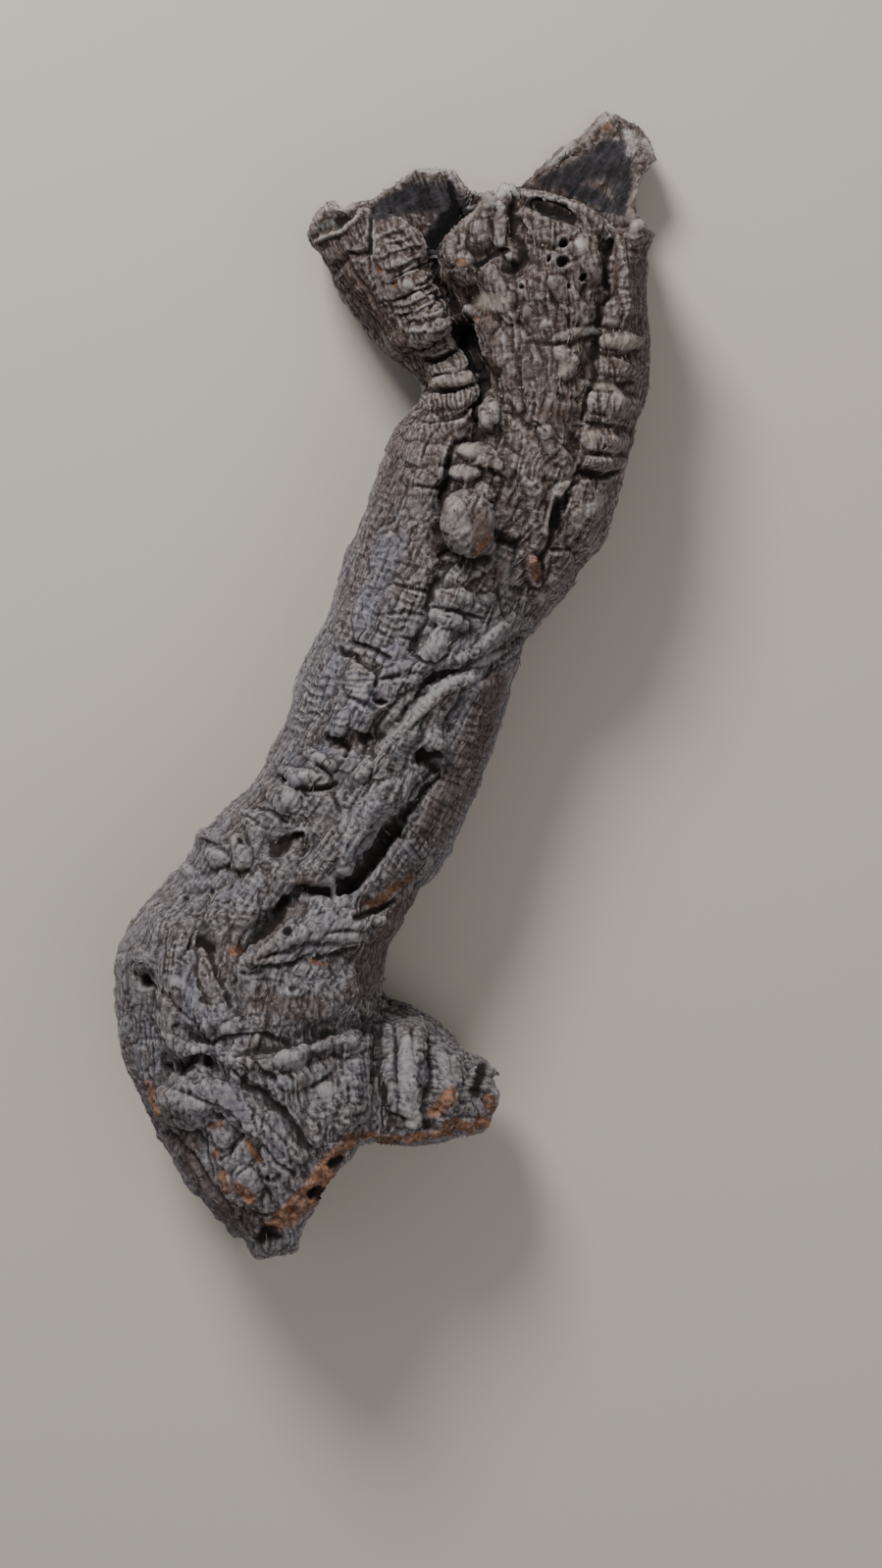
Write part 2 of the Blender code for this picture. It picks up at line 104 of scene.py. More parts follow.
def place(px, py, z=TRUE_HEIGHT):
    """Point at height z that the picture shows at a pixel."""
    nearness = (EYE_HEIGHT - z) / (EYE_HEIGHT - TRUE_HEIGHT)
    x = EYE_PIXEL[0] - CENTRE_PIXEL[0] + (px - EYE_PIXEL[0]) * nearness
    y = CENTRE_PIXEL[1] - EYE_PIXEL[1] + (EYE_PIXEL[1] - py) * nearness
    return Vector((x * PIXEL, y * PIXEL, z))


def pixels_of(points):
    """Pixels at which the picture shows an array of points."""
    nearness = (EYE_HEIGHT - TRUE_HEIGHT) / (EYE_HEIGHT - points[:, 2])
    across = points[:, 0] / PIXEL + CENTRE_PIXEL[0] - EYE_PIXEL[0]
    along = CENTRE_PIXEL[1] - EYE_PIXEL[1] - points[:, 1] / PIXEL
    return np.stack([EYE_PIXEL[0] + across * nearness, EYE_PIXEL[1] + along * nearness], axis=1)


print("a pixel is", round(PIXEL / MM, 4), "mm")

# %% [markdown]
# ## One soft skin for the whole branch
# The limbs grew as one, so bark strands run from one into the next. Modelling each limb by itself
# would leave a seam at every fork. The limbs' meshes are copied into one, grown by a hair so that
# the thin cuts between them close, and given one even skin with a voxel remesh. Rounds of
# smoothing then take the flat facets off. Plain smoothing would shrink the branch, so each round
# moves the points in and then back out a little further, which keeps the broad form.

# %% Mesh helpers
SKIN_STEP = 0.0018          # spacing of the skin's points, halved later where the front shows
CLOSE_CUTS = 0.0002         # how far each limb grows, which is more than half a cut
WELD = 1e-6                 # points of a limb closer than this are one
SMOOTH_ROUNDS = 36
MOVE_IN = 0.5               # shares of the way to the neighbours' mean
MOVE_OUT = -0.53


def rows_of(items, key):
    """Three numbers of each item of a mesh, as rows."""
    values = np.empty(len(items) * 3, dtype=np.float32)
    items.foreach_get(key, values)
    return values.reshape(-1, 3).astype(float)


def points_of(mesh):
    return rows_of(mesh.vertices, "co")


def normals_of(mesh):
    return rows_of(mesh.vertex_normals, "vector")


def set_points(mesh, points):
    mesh.vertices.foreach_set("co", points.astype(np.float32).ravel())
    mesh.update()


def keep(mesh, name, values, domain='POINT'):
    """Numbers kept on the mesh under a name, for a later cell or for a material."""
    attribute = mesh.attributes.get(name) or mesh.attributes.new(name, 'FLOAT', domain)
    attribute.data.foreach_set("value", np.asarray(values, dtype=np.float32))


def kept(mesh, name):
    """Numbers that were kept on the mesh."""
    data = mesh.attributes[name].data
    values = np.empty(len(data), dtype=np.float32)
    data.foreach_get("value", values)
    return values


class Neighbours:
    """Which points of a mesh are joined by an edge."""

    def __init__(self, mesh):
        ends = np.empty(len(mesh.edges) * 2, dtype=np.int32)
        mesh.edges.foreach_get("vertices", ends)
        self.ends = ends.reshape(-1, 2)
        self.count = len(mesh.vertices)
        self.degree = np.maximum(np.bincount(ends, minlength=self.count), 1)

    def mean(self, values):
        """Mean of each point's neighbours."""
        table = values.reshape(self.count, -1)
        total = np.zeros(table.shape)
        for here, there in (self.ends.T, self.ends.T[::-1]):
            for column in range(table.shape[1]):
                total[:, column] += np.bincount(here, table[there, column], minlength=self.count)
        return (total / self.degree[:, None]).reshape(values.shape)

    def softened(self, values, rounds, share=0.5):
        """Values moved towards their neighbours' mean, again and again."""
        for _ in range(rounds):
            values = values + share * (self.mean(values) - values)
        return values


def object_of(name, data):
    """Object in the scene for a mesh, a lamp or a lens."""
    made = bpy.data.objects.new(name, data)
    bpy.context.scene.collection.objects.link(made)
    return made


def with_modifier(thing, kind, **settings):
    """The object's mesh after one modifier, as a plain mesh."""
    modifier = thing.modifiers.new(kind.lower(), kind)
    for key, value in settings.items():
        setattr(modifier, key, value)
    bpy.context.view_layer.update()
    graph = bpy.context.evaluated_depsgraph_get()
    mesh = bpy.data.meshes.new_from_object(thing.evaluated_get(graph))
    thing.modifiers.clear()
    return mesh

# %% Skin the limbs together
def joined_limbs():
    """The limbs' meshes in one, each grown a little."""
    whole = bmesh.new()
    for name in sorted(frame["nodes"]):
        limb = bmesh.new()
        limb.from_mesh(frame["nodes"][name].data)
        bmesh.ops.remove_doubles(limb, verts=limb.verts, dist=WELD)
        limb.normal_update()
        for corner in limb.verts:
            corner.co += corner.normal * CLOSE_CUTS
        grown = bpy.data.meshes.new(name + "_grown")
        limb.to_mesh(grown)
        limb.free()
        whole.from_mesh(grown)
        bpy.data.meshes.remove(grown)
    mesh = bpy.data.meshes.new("limbs_joined")
    whole.to_mesh(mesh)
    whole.free()
    return mesh


def smooth_skin(mesh):
    near = Neighbours(mesh)
    points = points_of(mesh)
    for _ in range(SMOOTH_ROUNDS):
        for share in (MOVE_IN, MOVE_OUT):
            points = near.softened(points, 1, share)
    set_points(mesh, points)


whole = object_of("whole_branch", joined_limbs())
facets = BVHTree.FromPolygons(
    [corner.co.copy() for corner in whole.data.vertices],
    [tuple(face.vertices) for face in whole.data.polygons])
whole.data = with_modifier(whole, 'REMESH', mode='VOXEL', voxel_size=SKIN_STEP)
smooth_skin(whole.data)
print("skin:", len(whole.data.vertices), "points")

# %% [markdown]
# ## Outside, inside and broken edges
# The bark's outside is furrowed, its inside is the smoother face that lay against the wood, and
# its ends are broken. A point of the inside looks at the far wall of the hollow: rays that leave it
# along its normal mostly hit bark again. That share of blocked rays is kept for each point.

# %% Find the inside
LOOK_SPREAD = 0.55          # how far the slanting rays lean from the normal
LOOK_FAR = 0.16             # length of a ray in metres
LOOK_FROM = 0.002           # rays start this far off the skin
LOOK_TURNS = (0.3, 1.9, 3.4, 5.0)
ASLANT = (0.31, 0.87, 0.38)     # any direction that no large face is square to
ENCLOSED_ROUNDS = 6
SURELY_INSIDE = 0.6


def blocked_share(points, normals):
    """Share of the rays from each point that hit the branch again."""
    side = np.cross(normals, ASLANT)
    side /= np.linalg.norm(side, axis=1)[:, None]
    other = np.cross(normals, side)
    hits = np.zeros(len(points))
    looks = [(0, 0)] + [(math.cos(turn), math.sin(turn)) for turn in LOOK_TURNS]
    for u, v in looks:
        ways = normals + LOOK_SPREAD * (u * side + v * other)
        starts = points + normals * LOOK_FROM
        for k, (start, way) in enumerate(zip(starts.tolist(), ways.tolist())):
            if facets.ray_cast(start, way, LOOK_FAR)[0] is not None:
                hits[k] += 1
    return hits / len(looks)


near = Neighbours(whole.data)
enclosed = near.softened(blocked_share(points_of(whole.data), normals_of(whole.data)), ENCLOSED_ROUNDS)
keep(whole.data, "enclosed", enclosed)
print("points inside:", int((enclosed > SURELY_INSIDE).sum()))

# %% [markdown]
# ## Finer mesh where the eye looks
# Grooves and growth rings are a millimetre or two wide. A mesh fine enough for them everywhere
# would be too heavy, so only the outside's upper face is divided once more. The hollow and the
# back keep the coarser skin.

# %% Divide the front
FINE_SLOPE = -0.12          # faces that look up more than this are divided
FINE_ENCLOSED = 0.62        # faces deeper inside than this are not


def divide_front(mesh):
    fine = bmesh.new()
    fine.from_mesh(mesh)
    layer = fine.verts.layers.float["enclosed"]
    edges = set()
    for face in fine.faces:
        open_air = sum(corner[layer] for corner in face.verts) / len(face.verts) < FINE_ENCLOSED
        if open_air and face.normal.z > FINE_SLOPE:
            edges.update(face.edges)
    bmesh.ops.subdivide_edges(fine, edges=list(edges), cuts=1, use_grid_fill=True, smooth=0)
    bmesh.ops.triangulate(fine, faces=[face for face in fine.faces if len(face.verts) > 4])
    fine.to_mesh(mesh)
    fine.free()


divide_front(whole.data)
print("skin with its fine front:", len(whole.data.vertices), "points")

# %% [markdown]
# ## Patterns from random numbers
# Bark is random but not shapeless. Three patterns are enough: soft noise for uneven ground, ridged
# noise for fibres, and a cell pattern whose borders are the cracks between plates. Each is worked
# out for all points at once with arrays, from a repeatable random number for each lattice cell.

# %% Noise helpers
def scattered(cells, salt):
    """Repeatable random number from 0 to 1 for each whole-numbered cell."""
    mixed = np.full(len(cells), (salt * 0x9E3779B1) & 0xFFFFFFFF, dtype=np.uint32)
    for column, prime in zip(cells.T, (0x85EBCA6B, 0xC2B2AE35, 0x27D4EB2F)):
        mixed = (mixed ^ column.astype(np.int64).astype(np.uint32)) * np.uint32(prime)
        mixed ^= mixed >> np.uint32(15)
    return mixed / 0xFFFFFFFF


def noise(places, salt):
    """Soft random value from -1 to 1, with about one bump a unit."""
    low = np.floor(places)
    part = places - low
    part = part ** 3 * (part * (part * 6 - 15) + 10)
    total = np.zeros(len(places))
    for corner in itertools.product((0, 1), repeat=places.shape[1]):
        share = np.prod(np.where(corner, part, 1 - part), axis=1)
        total += share * scattered(low + corner, salt)
    return total * 2 - 1


def rough_noise(places, salt, octaves=3):
    """Noise with finer noise on it."""
    return sum(noise(places * 2.1 ** k, salt + k) / 2 ** k for k in range(octaves)) / 1.6


def plates(places, salt):
    """How far each place is inside its cell from the nearest crack, and a number for its cell."""
    home = np.floor(places)
    first = np.full(len(places), 9.0)
    second = np.full(len(places), 9.0)
    number = np.zeros(len(places))
    for step in itertools.product((-1, 0, 1), repeat=places.shape[1]):
        cell = home + step
        jitter = np.stack([scattered(cell, salt + k) for k in range(places.shape[1])], axis=1)
        away = np.linalg.norm(places - cell - 0.1 - 0.8 * jitter, axis=1)
        closer = away < first
        second = np.where(closer, first, np.minimum(second, away))
        number = np.where(closer, scattered(cell, salt + 7), number)
        first = np.minimum(first, away)
    return second - first, number


def step_between(low, high, values):
    """0 below low, 1 above high and a smooth rise between them."""
    t = np.clip((values - low) / (high - low), 0, 1)
    return t * t * (3 - 2 * t)

# %% [markdown]
# ## The grain's direction
# Strands run along each limb and growth rings run across it. A guide line down the middle of each
# limb gives both: how far along it a point lies, and how far to its side. The limbs meet in
# crevices, where the grain may turn sharply, but round a crevice's ends one limb's strands run on
# into the next. So each guide counts from the same place at the fork, and near a border the guides'
# numbers are blended.

# %% Guides and limb grounds
FORK_LINE = [(441, 264), (451, 295), (471, 327), (481, 346), (490, 379), (495, 398), (487, 436)]
MOUTH_LINE = [(470, 60), (484, 190), (480, 208), (462, 228), (446, 246), (441, 264)]
LEFT_FORK_END = (340, 420)
RIGHT_FORK_END = (700, 500)
FOOT_LINE = [(110, 868), (404, 984)]
SPUR_LINE = [(404, 984), (386, 1040), (386, 1090), (392, 1126), (388, 1240)]
FAR = 900                   # pixels that the outer grounds reach past the picture
DOT_LENGTH = 0.1            # a stroke of one point is a line this long
# Where a limb's guide counts as the stem's guide does
MEETING_POINTS = {
    "upper_left_limb": (450, 432), "upper_right_limb": (562, 455), "lower_right_spur": (386, 1060)}
BORDER_ROUNDS = 40          # rounds of softening that blend the guides at a border
GUIDES = {
    "stem": [(560, 400), (520, 520), (470, 600), (425, 700), (378, 790), (318, 890), (262, 980),
             (250, 1080), (262, 1180), (290, 1300)],
    "upper_left_limb": [(380, 150), (408, 222), (436, 290), (458, 352), (478, 405), (505, 470)],
    "upper_right_limb": [(640, 60), (556, 200), (562, 300), (574, 400), (562, 500), (540, 600)],
    "lower_right_spur": [(330, 1085), (400, 1105), (450, 1112), (540, 1118)],
}


def grounds():
    """Outline of each limb's ground in the picture. Neighbours share their lines."""
    left, right, top, foot = -FAR, FAR + PICTURE[0], -FAR, FAR + PICTURE[1]
    split = (MOUTH_LINE[0][0], top)
    under = (SPUR_LINE[-1][0], foot)
    left_side = (left, LEFT_FORK_END[1])
    right_side = (right, RIGHT_FORK_END[1])
    foot_left, foot_right = FOOT_LINE
    return {
        "upper_left_limb": MOUTH_LINE + FORK_LINE[1:] + [LEFT_FORK_END, left_side, (left, top), split],
        "upper_right_limb": [split, (right, top), right_side, RIGHT_FORK_END]
                            + FORK_LINE[::-1] + MOUTH_LINE[::-1][1:],
        "stem": [FORK_LINE[-1], RIGHT_FORK_END, right_side, (right, foot_right[1]), foot_right,
                 foot_left, (left, foot_left[1]), left_side, LEFT_FORK_END],
        "lower_left_limb": [(left, foot_left[1])] + FOOT_LINE + SPUR_LINE[1:] + [under, (left, foot)],
        "lower_right_spur": [foot_right, (right, foot_right[1]), (right, foot), under]
                            + SPUR_LINE[::-1][:-1],
    }


def within(pixels, outline):
    """Whether each pixel lies inside an outline."""
    inside = np.zeros(len(pixels), dtype=bool)
    for (ax, ay), (bx, by) in zip(outline, outline[1:] + outline[:1]):
        if ay == by:
            continue
        crosses = (ay > pixels[:, 1]) != (by > pixels[:, 1])
        reach = ax + (pixels[:, 1] - ay) * (bx - ax) / (by - ay)
        inside ^= crosses & (pixels[:, 0] < reach)
    return inside


def along_stroke(pixels, stroke):
    """Distance from a stroke over its own half width, the side of it, and how far along it."""
    if len(stroke) == 1:
        px, py, half_width = stroke[0]
        stroke = [stroke[0], (px + DOT_LENGTH, py, half_width)]
    reach = np.full(len(pixels), np.inf)
    side = np.zeros(len(pixels))
    along = np.zeros(len(pixels))
    done = 0.0
    for start, end in zip(stroke, stroke[1:]):
        run = np.array(end[:2], dtype=float) - start[:2]
        length = math.hypot(*run)
        offset = pixels - np.array(start[:2], dtype=float)
        t = np.clip(offset @ run / length ** 2, 0, 1)
        width = start[2] + t * (end[2] - start[2])
        here = np.linalg.norm(offset - t[:, None] * run, axis=1) / width
        closer = here < reach
        reach = np.where(closer, here, reach)
        turn = (run[0] * offset[:, 1] - run[1] * offset[:, 0]) / length
        side = np.where(closer, np.sign(turn) * here, side)
        along = np.where(closer, done + t * length, along)
        done += length
    return reach, side, along


def along_guide(pixels, limb):
    """How far each pixel lies to the side of a limb's guide and along it."""
    return along_stroke(pixels, [(px, py, 1) for px, py in GUIDES[limb]])[1:]


def near_stroke(pixels, stroke, margin=1.2):
    """Which pixels can be inside a stroke that is this much wider."""
    table = np.array(stroke, dtype=float)
    widest = table[:, 2].max() * margin + 1
    low = table[:, :2].min(axis=0) - widest
    high = table[:, :2].max(axis=0) + widest
    return np.flatnonzero(np.all((pixels > low) & (pixels < high), axis=1))


points = points_of(whole.data)
normals = normals_of(whole.data)
pixels = pixels_of(points)
near = Neighbours(whole.data)
across, along = along_guide(pixels, "stem")
grounds_now = grounds()
share_of = {}
for limb, meeting in MEETING_POINTS.items():
    share_of[limb] = near.softened(within(pixels, grounds_now[limb]).astype(float), BORDER_ROUNDS)
    own_across, own_along = along_guide(pixels, limb)
    spot = np.array([meeting], dtype=float)
    stem_side, stem_far = along_guide(spot, "stem")
    own_side, own_far = along_guide(spot, limb)
    own_across += stem_side[0] - own_side[0]
    own_along += stem_far[0] - own_far[0]
    across += share_of[limb] * (own_across - across)
    along += share_of[limb] * (own_along - along)
across *= PIXEL
along *= PIXEL
print({limb: int(share.sum()) for limb, share in share_of.items()})

# %% [markdown]
# ## Growth rings, plates and fibres all round
# Cork bark splits along the branch into plates, and each plate carries rings across it, a few
# millimetres apart, like a stack of worn discs. Fine fibres run along it. The patterns live in a
# grain space, (across, along, height) in metres, with the along axis squeezed so that every bump
# comes out long.

# %% Bark all round
inside = step_between(0.45, 0.75, kept(whole.data, "enclosed").astype(float))
# Sizes across and along the grain, in metres
PLATE = (0.017, 0.06)
SMALL_PLATE = (0.006, 0.012)
FIBRE = (0.0028, 0.036)
RING_PATCH = (0.014, 0.03)
# Sizes of a bump that is the same each way, in metres
RING_SPACE = 0.0042
RING_WANDER = 0.011
WANDER = 0.016
CRUMB = 0.0026
BLISTER = 0.0065
SWELL = 0.03


def grain(size_across, size_along):
    """Places in grain space, one unit being one bump."""
    return np.stack([across / size_across, along / size_along, points[:, 2] / size_across], axis=1)


wander = np.stack([rough_noise(points / WANDER, 11 + k, 2) for k in range(3)], axis=1)
crack, plate = plates(grain(*PLATE) + 0.45 * wander, 21)
small_crack, small_plate = plates(grain(*SMALL_PLATE) + 0.5 * wander, 31)
fibre = 1 - 2 * np.abs(rough_noise(grain(*FIBRE) + 0.6 * wander, 41, 2))
ring_place = along / RING_SPACE + 1.6 * rough_noise(points / RING_WANDER, 51, 3) + 2 * plate
ring = 1 - np.abs(2 * (ring_place - np.floor(ring_place)) - 1) ** 1.6
ring_strength = step_between(-0.3, 0.5, rough_noise(grain(*RING_PATCH), 61, 2))
crumb = rough_noise(points / CRUMB, 71, 3)
blister = rough_noise(points / BLISTER, 76, 2)
swell = rough_noise(points / SWELL, 81, 2)
BARK_SUNK = 1.5             # mm that all of it is lowered, so that crests stay near the plain skin
bark_height = MM * (        # each pattern times its height in mm
    0.9 * step_between(0.0, 0.2, crack) + 1.0 * (plate - 0.5)
    + 0.35 * step_between(0.0, 0.3, small_crack) + 1.1 * (small_plate - 0.5)
    + 1.0 * fibre + 0.6 * ring * ring_strength + 0.6 * crumb + 0.4 * blister + 1.2 * swell - BARK_SUNK)
print("bark height from", round(bark_height.min() / MM, 2), "to", round(bark_height.max() / MM, 2), "mm")

# %% [markdown]
# ## The front's own forms
# What makes this branch itself is drawn one by one: the long strands with their stacked rings, the
# lumps, the ledges with dark gaps below them, the crevices and the insect holes. A strand is a line
# with a half width at each of its points, a height, and rings of its own across it. Strands lie
# over each other like slates, so the highest one wins at each point, which leaves a sharp crease
# where two meet. Grooves and pits are cut last. Before any of it is looked up, the pixels are
# shifted by a little noise, so no line comes out smoother than bark. The lines are written as
# tables, because hundreds of brackets would hide their numbers. Heights and depths are in mm, as
# first judged from the shading: the shares further down bring them to what looks right.

# %% A way to write drawn lines down
def drawn_lines(table):
    """Lines of a table, with a semicolon between them.

    A line may start with numbers of its own and a colon. Then come its points, with a comma between
    them: each is an x, a y and a half width, in pixels.
    """
    lines = []
    for entry in table.split(";"):
        own, _, spots = entry.rpartition(":")
        stroke = [tuple(float(number) for number in spot.split()) for spot in spots.split(",")]
        lines.append([*(float(number) for number in own.split()), stroke])
    return lines


print("a line:", drawn_lines("4 1.4: 10 20 3, 30 40 5")[0])

